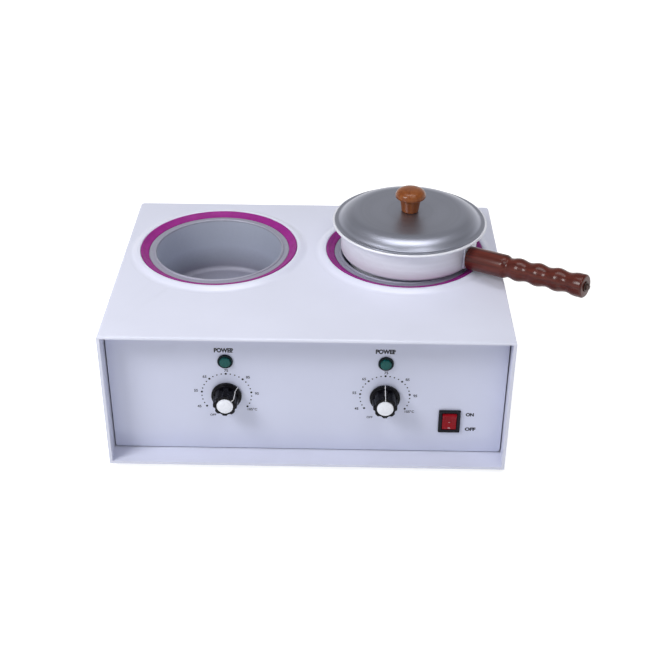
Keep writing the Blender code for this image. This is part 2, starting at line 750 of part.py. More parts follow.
def base_screw_places():
    front = PANEL_BACK_Y + (PANEL_FLANGE + PANEL_JOGGLE) / 2
    back = CASE_DEPTH / 2 - SIDE_LEDGE / 2
    return {
        "front_left_base_screw": (-BASE_SCREW_X, front),
        "front_right_base_screw": (BASE_SCREW_X, front),
        "back_left_base_screw": (-BASE_SCREW_X, back),
        "back_right_base_screw": (BASE_SCREW_X, back),
    }


def base_screw_holes(root, name, height):
    """Clearance holes for the base screws, from below the base plate to a height over the ledge."""
    mesh = cylinder_mesh(name, BASE_SCREW_RADIUS + SEAT_GAP, BASE_Z - OVERRUN, CASE_Z + height)
    spots = [Matrix.Translation((x, y, 0)) for x, y in base_screw_places().values()]
    return place(patterned(name, mesh, spots), root)


def foot_places():
    return {
        "front_left_foot": (-FOOT_X, FOOT_FRONT_Y),
        "front_right_foot": (FOOT_X, FOOT_FRONT_Y),
        "back_left_foot": (-FOOT_X, FOOT_BACK_Y),
        "back_right_foot": (FOOT_X, FOOT_BACK_Y),
    }


def make_base(materials, root):
    outline = rounded_rectangle(CASE_WIDTH - 2 * BASE_INSET, CASE_DEPTH - 2 * BASE_INSET, BASE_CORNER_RADIUS)
    plate = place(extruded("base_plate", outline, SHEET, materials["zinc"]), root, (0, 0, BASE_Z + SHEET / 2))
    stud = cylinder("earth_stud", EARTH_STUD_RADIUS, BASE_Z + SHEET / 2, BASE_Z + SHEET + EARTH_STUD_LENGTH)
    join(plate, place(stud, root, (EARTH_X, EARTH_Y, 0)))
    hole = cylinder_mesh("foot_hole", FOOT_NECK_RADIUS + SEAT_GAP, BASE_Z - OVERRUN, BASE_Z + SHEET + OVERRUN)
    spots = [Matrix.Translation((x, y, 0)) for x, y in foot_places().values()]
    foot_holes = place(patterned("foot_holes", hole, spots), root)
    cut(plate, base_screw_holes(root, "plate_screw_holes", 0), foot_holes)

    length = 3 * SHEET + HEM_THICKNESS + 3 * SEAT_GAP + BASE_SCREW_TAIL
    screw = screw_mesh("base_screw", BASE_SCREW_HEAD_RADIUS, BASE_SCREW_HEAD, BASE_SCREW_RADIUS, length)
    for name, (x, y) in base_screw_places().items():
        place(add_object(name, screw, materials["steel"]), root, (x, y, BASE_Z - SEAT_GAP), (math.pi, 0, 0))

    barb_z = FOOT_HEIGHT + 2 * SEAT_GAP + SHEET
    foot = turned_mesh(
        "foot",
        [
            (0, barb_z + FOOT_BARB_HEIGHT),
            (FOOT_NECK_RADIUS * 0.7, barb_z + FOOT_BARB_HEIGHT),
            (FOOT_BARB_RADIUS, barb_z),
            (FOOT_NECK_RADIUS, barb_z),
            (FOOT_NECK_RADIUS, FOOT_HEIGHT),
            (FOOT_RADIUS, FOOT_HEIGHT),
            (FOOT_RADIUS - FOOT_TAPER, 0),
            (0, 0),
        ],
        FOOT_STEPS,
    )
    for name, (x, y) in foot_places().items():
        place(add_object(name, foot, materials["rubber"]), root, (x, y, 0))


def make_front_panel(materials, root):
    width = CASE_WIDTH - 2 * (SHEET + PANEL_SIDE_GAP)
    low = CASE_Z + HEM_THICKNESS + PANEL_SIDE_GAP
    high = TOP_Z - SHEET - SEAT_GAP
    outline = rounded_rectangle(width, high - low, PANEL_CORNER_RADIUS)
    panel = extruded("front_panel", outline, SHEET, materials["panel"])
    place(panel, root, (0, PANEL_Y + SHEET / 2, (low + high) / 2), (QUARTER_TURN, 0, 0))

    half = width / 2 - 2 * PANEL_CORNER_RADIUS
    flange_y = PANEL_BACK_Y + PANEL_FLANGE
    seat_y = PANEL_BACK_Y + PANEL_JOGGLE
    seat_z = CASE_Z + HEM_THICKNESS + SEAT_GAP
    upper_z = high - PANEL_CORNER_RADIUS
    for label, corner, opposite in (
        ("lower_flange", (-half, PANEL_Y + SHEET / 2, low + SEAT_GAP), (half, flange_y, low + SHEET)),
        ("seat", (-half, seat_y, seat_z), (half, flange_y, low + SHEET)),
        ("upper_flange", (-half, PANEL_Y + SHEET / 2, upper_z - SHEET), (half, flange_y, upper_z)),
    ):
        join(panel, place(span_box("panel_" + label, corner, opposite), root))
    for side, x in (("left", LEFT_DIAL_X), ("right", RIGHT_DIAL_X)):
        for label, radius, height in (
            ("neck", NECK_RADIUS + SEAT_GAP, DIAL_HEIGHT),
            ("lamp", LAMP_BARREL_RADIUS + SEAT_GAP, LAMP_HEIGHT),
        ):
            hole_name = side + "_" + label + "_hole"
            hole = cylinder(hole_name, radius, -SHEET - OVERRUN, OVERRUN, steps=MEDIUM_STEPS)
            cut(panel, place(hole, root, (x, PANEL_Y, CASE_Z + height), (QUARTER_TURN, 0, 0)))
    window = box(
        "panel_switch_window",
        (SWITCH_BODY_WIDTH + 2 * SEAT_GAP, SHEET + 2 * OVERRUN, SWITCH_BODY_HEIGHT + 2 * SEAT_GAP),
        (SWITCH_X, PANEL_Y + SHEET / 2, CASE_Z + SWITCH_HEIGHT),
    )
    cut(panel, place(window, root))
    cut(panel, base_screw_holes(root, "panel_screw_holes", HEM_THICKNESS + PANEL_SIDE_GAP + SHEET + OVERRUN))


# The heating wells


def make_wells(materials, root):
    seal_outer = SEAT_RADIUS - SEAT_GAP
    seal_low = SEAT_GAP - SHELF_DROP
    seal_inner_z = SEAL_INNER_RISE - WELL_FLANGE_DROP
    crest = seal_outer - SEAL_CREST_WIDTH
    seal = turned_mesh(
        "seal_ring",
        [
            (seal_outer, COLLAR_HEIGHT),
            (seal_outer, seal_low),
            (SEAL_INNER_RADIUS, seal_low),
            (SEAL_INNER_RADIUS, seal_inner_z),
            ((SEAL_INNER_RADIUS + crest) / 2, (seal_inner_z + COLLAR_HEIGHT) / 2 - SEAL_DISH),
            (crest, COLLAR_HEIGHT),
        ],
        ROUND_STEPS,
    )
    bead_middle = (WELL_RADIUS + WELL_BEAD_WIDTH / 2, -WELL_FLANGE_DROP)
    corner = (WELL_RADIUS - WELL_FILLET, WELL_FLOOR_Z + WELL_FILLET)
    outer_radius = WELL_RADIUS + WELL_WALL
    outer_fillet = WELL_FILLET + WELL_WALL
    outline = [(0, WELL_FLOOR_Z)]
    outline += arc(corner, WELL_FILLET, WELL_FILLET, -QUARTER_TURN, 0, 3)
    outline += arc(bead_middle, WELL_BEAD_WIDTH / 2, WELL_BEAD_HEIGHT, math.pi, 0, 4)
    outline += [
        (WELL_FLANGE_RADIUS, -WELL_FLANGE_DROP),
        (WELL_FLANGE_RADIUS, -WELL_FLANGE_DROP - WELL_WALL),
        (outer_radius, -WELL_FLANGE_DROP - WELL_WALL),
    ]
    outline += arc(corner, outer_fillet, outer_fillet, 0, -QUARTER_TURN, 2)
    outline += [
        (WELL_STUD_RADIUS, WELL_BOTTOM_Z),
        (WELL_STUD_RADIUS, WELL_BOTTOM_Z - WELL_STUD_LENGTH),
        (0, WELL_BOTTOM_Z - WELL_STUD_LENGTH),
    ]
    pot = turned_mesh("heating_well", outline, ROUND_STEPS)
    nut = nut_mesh("well_nut", NUT_ACROSS_FLATS, NUT_HEIGHT, WELL_STUD_RADIUS + SEAT_GAP)
    nut_z = WELL_BOTTOM_Z - 2 * SEAT_GAP - SHEET - NUT_HEIGHT / 2
    for side, inward in (("left", 1), ("right", -1)):
        axis = add_empty(side + "_well_axis", root, (-inward * WELL_X, WELL_Y, TOP_Z))
        place(add_object(side + "_seal_ring", seal, materials["silicone"]), axis)
        well = place(add_object(side + "_heating_well", pot, materials["aluminium"]), axis)
        join(well, *sensor_clips(side, inward, axis))
        place(add_object(side + "_well_nut", nut, materials["steel"]), axis, (0, 0, nut_z))
        make_bridge(side, axis, materials)
        make_heater_band(side, inward, axis, materials)
        make_sensor(side, inward, axis, materials)


def sensor_clips(side, inward, axis):
    """Saddles spot-welded under the well's floor, which hold the sensor's bulb against it."""
    inner = BULB_RADIUS + SEAT_GAP + CLIP_THICKNESS / 2
    foot_z = SEAT_GAP - CLIP_THICKNESS / 2
    path = [(-inner - CLIP_FOOT, foot_z), (-inner, foot_z)]
    path += arc((0, -SEAT_GAP - BULB_RADIUS), inner, inner, math.pi, 2 * math.pi, 7)
    path += [(inner, foot_z), (inner + CLIP_FOOT, foot_z)]
    clips = []
    for label, offset in (("front", -CLIP_SPACING / 2), ("back", CLIP_SPACING / 2)):
        clip = extruded(side + "_" + label + "_clip", strip_outline(path, CLIP_THICKNESS), CLIP_WIDTH)
        clips.append(place(clip, axis, (inward * BULB_X, offset, WELL_BOTTOM_Z), (QUARTER_TURN, 0, 0)))
    return clips


def make_bridge(side, axis, materials):
    """A strip bent to a hat: its feet are welded under the case's top, its middle takes the well's stud."""
    foot_z = -SHEET - SEAT_GAP - SHEET / 2
    middle_z = WELL_BOTTOM_Z - SEAT_GAP - SHEET / 2
    path = [(-BRIDGE_LEG - BRIDGE_FOOT, foot_z), (-BRIDGE_LEG, foot_z), (-BRIDGE_LEG, middle_z)]
    path += [(-x, z) for x, z in reversed(path)]
    bridge = extruded(side + "_well_bridge", strip_outline(path, SHEET), BRIDGE_WIDTH, materials["zinc"])
    place(bridge, axis, rotation=(QUARTER_TURN, 0, QUARTER_TURN))
    hole = cylinder(side + "_bridge_hole", WELL_STUD_RADIUS + SEAT_GAP, middle_z - SHEET, middle_z + SHEET)
    cut(bridge, place(hole, axis))


def make_heater_band(side, inward, axis, materials):
    """A steel band with its element inside, split where two lugs are drawn together, with two terminals."""
    radius = WELL_RADIUS + WELL_WALL + SEAT_GAP + BAND_THICKNESS / 2 / FLAT_SHARE
    split = radius * math.sin(BAND_GAP_ANGLE)
    span = split + BAND_THICKNESS / 2
    band_axis = add_empty(
        side + "_band_axis", axis, (0, 0, -BAND_DROP - BAND_HEIGHT / 2), (0, 0, inward * BAND_TURN)
    )
    path = [(split, -radius - BAND_LUG)]
    angles = [BAND_GAP_ANGLE] + [i * FACET for i in range(1, ROUND_STEPS)] + [FULL_TURN - BAND_GAP_ANGLE]
    path += [(radius * math.sin(angle), -radius * math.cos(angle)) for angle in angles]
    path += [(-split, -radius - BAND_LUG)]
    band_outline = strip_outline(path, BAND_THICKNESS)
    band = extruded(side + "_heater_band", band_outline, BAND_HEIGHT, materials["band"])
    place(band, band_axis)
    screw_y = -radius - BAND_LUG * 0.6
    hole = cylinder(side + "_clamp_hole", CLAMP_SCREW_RADIUS + SEAT_GAP, -span - OVERRUN, span + OVERRUN)
    cut(band, place(hole, band_axis, (0, screw_y, 0), (0, QUARTER_TURN, 0)))
    tab = span_box(
        side + "_band_tab",
        (-TAB_THICKNESS / 2, -radius - BAND_LUG - TAB_LENGTH, BAND_HEIGHT / 2 - TAB_WIDTH * 1.5),
        (TAB_THICKNESS / 2, -radius - BAND_LUG + BAND_THICKNESS, BAND_HEIGHT / 2 - TAB_WIDTH * 0.5),
    )
    join(band, place(tab, band_axis, (-inward * split, 0, 0)))
    screw = screw_mesh(
        side + "_clamp_screw",
        CLAMP_SCREW_HEAD_RADIUS,
        CLAMP_SCREW_HEAD,
        CLAMP_SCREW_RADIUS,
        2 * span + CLAMP_SCREW_TAIL,
    )
    screw = add_object(side + "_clamp_screw", screw, materials["steel"])
    place(screw, band_axis, (span + SEAT_GAP, screw_y, 0), (0, QUARTER_TURN, 0))

    tab_front = -radius - BAND_LUG - TAB_LENGTH - SEAT_GAP
    tab_end = Vector((-inward * split, tab_front, BAND_HEIGHT / 2 - TAB_WIDTH))
    end = Matrix.Rotation(inward * BAND_TURN, 3, "Z") @ tab_end + Vector((0, 0, -BAND_DROP - BAND_HEIGHT / 2))
    outward = Vector((end.x, end.y, 0)).normalized()
    start = thermostat_point(inward, inward * TAB_SPACING / 2, TAB_LENGTH + SEAT_GAP, 0)
    middle = [(start + end) / 2 + Vector((inward * WIRE_SAG, 0, -WIRE_SAG))]
    points = led_route(start, Vector((0, WIRE_LEAD, 0)), middle, end, outward * WIRE_LEAD)
    place(tube(side + "_heater_wire", points, [WIRE_RADIUS] * len(points), materials["wire"]), axis)


def thermostat_point(inward, offset_x, behind, above):
    """A point behind the thermostat, measured from the axis of the well on the same side."""
    dial_x = LEFT_DIAL_X if inward > 0 else RIGHT_DIAL_X
    return Vector(
        (
            dial_x + inward * WELL_X + offset_x,
            THERMOSTAT_BACK_Y + behind - WELL_Y,
            CASE_Z + DIAL_HEIGHT + above - TOP_Z,
        )
    )


def make_sensor(side, inward, axis, materials):
    """A capillary from the thermostat that widens into the bulb."""
    bulb_z = WELL_BOTTOM_Z - SEAT_GAP - BULB_RADIUS
    start = thermostat_point(inward, 0, SEAT_GAP, CAPILLARY_RISE)
    end = Vector((inward * BULB_X, -BULB_LENGTH / 2, bulb_z))
    neck = end - Vector((0, BULB_RADIUS, 0))
    lead = Vector((0, CAPILLARY_LEAD, 0))
    bow = (start + end) / 2 + Vector((inward, 0, -1)) * CAPILLARY_BOW
    points = led_route(start, lead, [bow], neck, -lead)
    radii = [CAPILLARY_RADIUS] * len(points)
    for along in (0, BULB_RADIUS / 2, BULB_LENGTH - BULB_RADIUS / 2, BULB_LENGTH):
        points.append(end + Vector((0, along, 0)))
    radii += [BULB_RADIUS * 0.7, BULB_RADIUS, BULB_RADIUS, BULB_RADIUS * 0.7]
    place(tube(side + "_sensor", points, radii, materials["copper"]), axis)


# Thermostats and dials


def make_thermostats(materials, root):
    nut = nut_mesh("thermostat_nut", NECK_NUT_ACROSS_FLATS, NECK_NUT_HEIGHT, NECK_RADIUS + SEAT_GAP)
    nut_y = PANEL_Y - SEAT_GAP - NECK_NUT_HEIGHT / 2
    facing_front = (QUARTER_TURN, 0, 0)
    bore = SHAFT_RADIUS + SEAT_GAP
    for side, x in (("left", LEFT_DIAL_X), ("right", RIGHT_DIAL_X)):
        z = CASE_Z + DIAL_HEIGHT
        body = box(
            side + "_thermostat",
            (THERMOSTAT_WIDTH, THERMOSTAT_DEPTH, THERMOSTAT_HEIGHT),
            (x, (THERMOSTAT_FRONT_Y + THERMOSTAT_BACK_Y) / 2, z),
            materials["ceramic"],
            THERMOSTAT_BEVEL,
        )
        place(body, root)
        neck_low = -SHEET - SEAT_GAP - THERMOSTAT_BEVEL
        neck = cylinder(side + "_thermostat_neck", NECK_RADIUS, neck_low, NECK_FRONT, steps=MEDIUM_STEPS)
        join(body, place(neck, root, (x, PANEL_Y, z), facing_front))
        for label, offset in (("left", -TAB_SPACING / 2), ("right", TAB_SPACING / 2)):
            tab = span_box(
                side + "_thermostat_" + label + "_tab",
                (x + offset - TAB_WIDTH / 2, THERMOSTAT_BACK_Y - THERMOSTAT_BEVEL, z - TAB_THICKNESS / 2),
                (x + offset + TAB_WIDTH / 2, THERMOSTAT_BACK_Y + TAB_LENGTH, z + TAB_THICKNESS / 2),
            )
            join(body, place(tab, root))
        socket_low = -SHEET - SHAFT_SOCKET - 3 * SEAT_GAP
        socket = cylinder(side + "_shaft_socket", bore, socket_low, NECK_FRONT + OVERRUN)
        cut(body, place(socket, root, (x, PANEL_Y, z), facing_front))
        nut_object = add_object(side + "_thermostat_nut", nut, materials["steel"])
        place(nut_object, root, (x, nut_y, z), facing_front)


def make_dials(materials, root):
    hollow_top = NECK_FRONT + KNOB_HOLLOW_CLEARANCE
    hollow_radius = NECK_NUT_ACROSS_FLATS / math.sqrt(3) + KNOB_HOLLOW_CLEARANCE
    skirt_top = KNOB_STANDOFF + KNOB_SKIRT
    grip_start = skirt_top + KNOB_SHOULDER
    cap_floor = KNOB_LENGTH - CAP_SEAT
    bore = SHAFT_RADIUS + SEAT_GAP
    shaft_end = KNOB_STANDOFF + SHAFT_IN_KNOB
    knob_mesh = turned_mesh(
        "dial_knob",
        [
            (0, cap_floor),
            (CAP_RADIUS + SEAT_GAP, cap_floor),
            (CAP_RADIUS + SEAT_GAP, KNOB_LENGTH),
            (KNOB_FRONT_RADIUS - KNOB_EDGE, KNOB_LENGTH),
            (KNOB_FRONT_RADIUS, KNOB_LENGTH - KNOB_EDGE),
            (KNOB_GRIP_RADIUS, grip_start),
            (KNOB_SHOULDER_RADIUS, grip_start),
            (KNOB_SKIRT_RADIUS, skirt_top),
            (KNOB_SKIRT_RADIUS, KNOB_STANDOFF),
            (hollow_radius, KNOB_STANDOFF),
            (hollow_radius, hollow_top),
            (bore, hollow_top),
            (bore, shaft_end + SEAT_GAP),
            (0, shaft_end + SEAT_GAP),
        ],
    )
    cap_low = cap_floor + SEAT_GAP
    cap_mesh = turned_mesh(
        "knob_cap",
        [
            (0, KNOB_LENGTH + CAP_RISE),
            (CAP_RADIUS * 0.8, KNOB_LENGTH + CAP_RISE - CAP_DOME / 2),
            (CAP_RADIUS, KNOB_LENGTH + CAP_RISE - CAP_DOME * 2),
            (CAP_RADIUS, cap_low),
            (0, cap_low),
        ],
    )
    shaft_mesh = cylinder_mesh("dial_shaft", SHAFT_RADIUS, -SHEET - SHAFT_SOCKET - 2 * SEAT_GAP, shaft_end)
    scallop = cylinder_mesh("knob_scallop", KNOB_SCALLOP_RADIUS, grip_start, KNOB_LENGTH + OVERRUN)
    scallop_circle = KNOB_GRIP_RADIUS + KNOB_SCALLOP_RADIUS - KNOB_SCALLOP_DEPTH
    ring = [
        Matrix.Rotation((i + 0.5) * FULL_TURN / KNOB_LOBES, 4, "Z")
        @ Matrix.Translation((scallop_circle, 0, 0))
        for i in range(KNOB_LOBES)
    ]
    for side, x, turn in (("left", LEFT_DIAL_X, LEFT_DIAL_TURN), ("right", RIGHT_DIAL_X, RIGHT_DIAL_TURN)):
        axis = add_empty(side + "_dial_axis", root, (x, PANEL_Y, CASE_Z + DIAL_HEIGHT), (QUARTER_TURN, 0, 0))
        place(add_object(side + "_dial_shaft", shaft_mesh, materials["steel"]), axis)
        knob = add_object(side + "_dial_knob", knob_mesh, materials["plastic"])
        place(knob, axis, rotation=(0, 0, -turn))
        cut(knob, place(patterned(side + "_knob_scallops", scallop, ring), axis, rotation=(0, 0, -turn)))
        place(add_object(side + "_knob_cap", cap_mesh, materials["cap"]), axis)


# Lamps and switch


def make_lamps(materials, root):
    lens_floor = LAMP_BEZEL - LAMP_LENS_SEAT
    bezel_front = LAMP_BEZEL + SEAT_GAP
    body_mesh = turned_mesh(
        "lamp_body",
        [
            (0, lens_floor),
            (LAMP_LENS_RADIUS + SEAT_GAP, lens_floor),
            (LAMP_LENS_RADIUS + SEAT_GAP, bezel_front),
            (LAMP_BEZEL_RADIUS - LAMP_BEZEL / 3, bezel_front),
            (LAMP_BEZEL_RADIUS, LAMP_BEZEL * 2 / 3),
            (LAMP_BEZEL_RADIUS, SEAT_GAP),
            (LAMP_BARREL_RADIUS, SEAT_GAP),
            (LAMP_BARREL_RADIUS, -LAMP_BARREL_LENGTH),
            (0, -LAMP_BARREL_LENGTH),
        ],
    )
    lens_mesh = turned_mesh(
        "lamp_lens",
        [
            (0, LAMP_BEZEL + LAMP_LENS_RISE),
            (LAMP_LENS_RADIUS / 2, LAMP_BEZEL + LAMP_LENS_RISE * 0.85),
            (LAMP_LENS_RADIUS * 0.85, LAMP_BEZEL + LAMP_LENS_RISE / 2),
            (LAMP_LENS_RADIUS, LAMP_BEZEL),
            (LAMP_LENS_RADIUS, lens_floor + SEAT_GAP),
            (0, lens_floor + SEAT_GAP),
        ],
    )
    nut = nut_mesh("lamp_nut", LAMP_NUT_ACROSS_FLATS, LAMP_NUT, LAMP_BARREL_RADIUS + SEAT_GAP)
    nut_y = PANEL_BACK_Y + SEAT_GAP + LAMP_NUT / 2
    facing_front = (QUARTER_TURN, 0, 0)
    for side, x in (("left", LEFT_DIAL_X), ("right", RIGHT_DIAL_X)):
        z = CASE_Z + LAMP_HEIGHT
        spot = (x, PANEL_Y, z)
        place(add_object(side + "_lamp_body", body_mesh, materials["plastic"]), root, spot, facing_front)
        place(add_object(side + "_lamp_lens", lens_mesh, materials["lens"]), root, spot, facing_front)
        place(add_object(side + "_lamp_nut", nut, materials["plastic"]), root, (x, nut_y, z), facing_front)


def make_switch(materials, root):
    pivot = (SWITCH_X, PANEL_Y - SEAT_GAP, CASE_Z + SWITCH_HEIGHT)
    axis = add_empty("rocker_axis", root, pivot)
    back = SWITCH_BODY_DEPTH - SWITCH_BEZEL / 2
    housing = span_box(
        "switch_housing",
        (-SWITCH_BODY_WIDTH / 2, -SWITCH_BEZEL / 2, -SWITCH_BODY_HEIGHT / 2),
        (SWITCH_BODY_WIDTH / 2, back, SWITCH_BODY_HEIGHT / 2),
        materials["plastic"],
    )
    place(housing, root, pivot)
    bm = bmesh.new()
    bmesh.ops.create_cube(bm, size=1)
    bmesh.ops.scale(bm, vec=(SWITCH_BEZEL_WIDTH, SWITCH_BEZEL, SWITCH_BEZEL_HEIGHT), verts=bm.verts)
    bmesh.ops.translate(bm, vec=(0, -SWITCH_BEZEL / 2, 0), verts=bm.verts)
    front = min(bm.faces, key=lambda face: face.calc_center_median().y)
    round_edges(bm, front.edges[:], SWITCH_BEZEL_CHAMFER, 2)
    join(housing, place(add_object("switch_bezel", mesh_from("switch_bezel", bm)), root, pivot))
    cavity_half = ROCKER_RADIUS + SEAT_GAP
    cavity = span_box(
        "switch_cavity",
        (-ROCKER_WIDTH / 2 - SEAT_GAP, -SWITCH_BEZEL - OVERRUN, -cavity_half),
        (ROCKER_WIDTH / 2 + SEAT_GAP, SWITCH_CAVITY_DEPTH, cavity_half),
    )
    cut(housing, place(cavity, root, pivot))
    tab = box("switch_tab", (TAB_THICKNESS, TAB_LENGTH, TAB_WIDTH), (0, TAB_LENGTH / 2 - TAB_THICKNESS, 0))
    tabs = [
        Matrix.Translation((x * SWITCH_TAB_SPACING_X / 2, back, z * SWITCH_TAB_SPACING_Z / 2))
        for x in (-1, 1)
        for z in (-1, 1)
    ]
    join(housing, place(patterned("switch_tabs", evaluated_mesh(tab), tabs), root, pivot))

    # The outline has its X to the front and its Y up. It is then stood upright, with its thickness sideways.
    back_angle = math.asin(ROCKER_BACK / ROCKER_RADIUS)
    upper = arc(
        (0, 0), ROCKER_RADIUS, ROCKER_RADIUS, QUARTER_TURN + back_angle, QUARTER_TURN - ROCKER_CORNER_ANGLE, 5
    )
    outline = upper + [(ROCKER_VALLEY, 0)] + [(x, -y) for x, y in reversed(upper)]
    rocker = extruded("switch_rocker", outline, ROCKER_WIDTH, materials["rocker"])
    rocker.data.transform(Matrix.Rotation(-QUARTER_TURN, 4, "Z") @ Matrix.Rotation(QUARTER_TURN, 4, "X"))
    place(rocker, axis, rotation=(ROCKER_TILT, 0, 0))


# Inlet, terminal block and mains wire


def make_inlet(materials, root):
    """Drawn facing -Y about the mouth of its socket, then turned to face the back."""
    centre = (INLET_X, CASE_DEPTH / 2 + SEAT_GAP + INLET_FLANGE, CASE_Z + INLET_HEIGHT)
    facing_back = (0, 0, math.pi)
    upright = Matrix.Rotation(QUARTER_TURN, 4, "X")
    inlet = extruded(
        "mains_inlet",
        rounded_rectangle(INLET_FLANGE_WIDTH, INLET_FLANGE_HEIGHT, INLET_CORNER_RADIUS, 3),
        INLET_FLANGE,
        materials["plastic"],
    )
    inlet.data.transform(Matrix.Translation((0, INLET_FLANGE / 2, 0)) @ upright)
    place(inlet, root, centre, facing_back)
    body = span_box(
        "inlet_body",
        (-INLET_BODY_WIDTH / 2, INLET_FLANGE / 2, -INLET_BODY_HEIGHT / 2),
        (INLET_BODY_WIDTH / 2, INLET_BODY_DEPTH, INLET_BODY_HEIGHT / 2),
    )
    join(inlet, place(body, root, centre, facing_back))
    x, z, chamfer = INLET_SOCKET_WIDTH / 2, INLET_SOCKET_HEIGHT / 2, INLET_SOCKET_CHAMFER
    outline = [(-x, -z), (x, -z), (x, z - chamfer), (x - chamfer, z), (chamfer - x, z), (-x, z - chamfer)]
    socket = extruded("inlet_socket", outline, INLET_SOCKET_DEPTH + OVERRUN)
    socket.data.transform(Matrix.Translation((0, (INLET_SOCKET_DEPTH - OVERRUN) / 2, 0)) @ upright)
    hole = cylinder_mesh("inlet_flange_hole", INLET_SCREW_RADIUS + SEAT_GAP, -INLET_FLANGE - OVERRUN, OVERRUN)
    sides = [Matrix.Translation((side * INLET_SCREW_SPACING / 2, 0, 0)) @ upright for side in (-1, 1)]
    cut(inlet, place(socket, root, centre, facing_back))
    cut(inlet, place(patterned("inlet_flange_holes", hole, sides), root, centre, facing_back))

    pin = span_box(
        "inlet_pin",
        (-INLET_PIN_THICKNESS / 2, INLET_PIN_RECESS, -INLET_PIN_WIDTH / 2),
        (INLET_PIN_THICKNESS / 2, INLET_BODY_DEPTH + INLET_PIN_TAIL, INLET_PIN_WIDTH / 2),
    )
    spots = [
        Matrix.Translation((offset * INLET_PIN_SPACING, 0, rise * INLET_PIN_DROP))
        for offset, rise in ((-1, -1), (0, 1), (1, -1))
    ]
    join(inlet, place(patterned("inlet_pins", evaluated_mesh(pin), spots), root, centre, facing_back))

    length = INLET_FLANGE + 2 * SEAT_GAP + SHEET + INLET_SCREW_TAIL
    screw = screw_mesh("inlet_screw", INLET_SCREW_HEAD_RADIUS, INLET_SCREW_HEAD, INLET_SCREW_RADIUS, length)
    for side, offset in (("left", -1), ("right", 1)):
        spot = (INLET_X + offset * INLET_SCREW_SPACING / 2, centre[1] + SEAT_GAP, centre[2])
        place(add_object(side + "_inlet_screw", screw, materials["steel"]), root, spot, (-QUARTER_TURN, 0, 0))


def make_terminal_block(materials, root):
    width = BLOCK_POLES * BLOCK_POLE_WIDTH
    spot = (BLOCK_X, BLOCK_Y, BASE_Z + SHEET + SEAT_GAP)
    block = box(
        "terminal_block", (width, BLOCK_DEPTH, BLOCK_HEIGHT), (0, 0, BLOCK_HEIGHT / 2), materials["ceramic"]
    )
    place(block, root, spot)
    groove = span_box(
        "block_groove",
        (-BLOCK_GROOVE / 2, -BLOCK_DEPTH / 2 - OVERRUN, BLOCK_HEIGHT - BLOCK_GROOVE_DEPTH),
        (BLOCK_GROOVE / 2, BLOCK_DEPTH / 2 + OVERRUN, BLOCK_HEIGHT + OVERRUN),
    )
    groove_x = [(i + 1) * BLOCK_POLE_WIDTH - width / 2 for i in range(BLOCK_POLES - 1)]
    grooves = [Matrix.Translation((x, 0, 0)) for x in groove_x]
    poles = [(i + 0.5) * BLOCK_POLE_WIDTH - width / 2 for i in range(BLOCK_POLES)]
    entry = cylinder_mesh("block_entry", BLOCK_HOLE_RADIUS, -BLOCK_DEPTH, BLOCK_DEPTH)
    lying = Matrix.Translation((0, 0, BLOCK_HEIGHT / 2)) @ Matrix.Rotation(QUARTER_TURN, 4, "X")
    entries = [Matrix.Translation((x, 0, 0)) @ lying for x in poles]
    cut(block, place(patterned("block_grooves", evaluated_mesh(groove), grooves), root, spot))
    cut(block, place(patterned("block_entries", entry, entries), root, spot))
    head = cylinder_mesh("terminal_screw", BLOCK_SCREW_RADIUS, -BLOCK_SCREW_HEIGHT, BLOCK_SCREW_HEIGHT)
    heads = [Matrix.Translation((x, side * BLOCK_DEPTH / 4, BLOCK_HEIGHT)) for x in poles for side in (-1, 1)]
    join(block, place(patterned("terminal_screws", head, heads), root, spot))

    start = Vector(
        (
            INLET_X - INLET_PIN_SPACING,
            CASE_DEPTH / 2 + INLET_FLANGE - INLET_BODY_DEPTH - INLET_PIN_TAIL,
            CASE_Z + INLET_HEIGHT - INLET_PIN_DROP,
        )
    )
    end = Vector((BLOCK_X + poles[-1], BLOCK_Y + BLOCK_DEPTH / 2 + SEAT_GAP, spot[2] + BLOCK_HEIGHT / 2))
    lead = Vector((0, WIRE_LEAD, 0))
    points = led_route(start, -lead, [(start + end) / 2 + Vector((0, 0, -WIRE_SAG))], end, lead)
    place(tube("mains_wire", points, [WIRE_RADIUS] * len(points), materials["wire"]), root)


# The pan, its handle and its lid


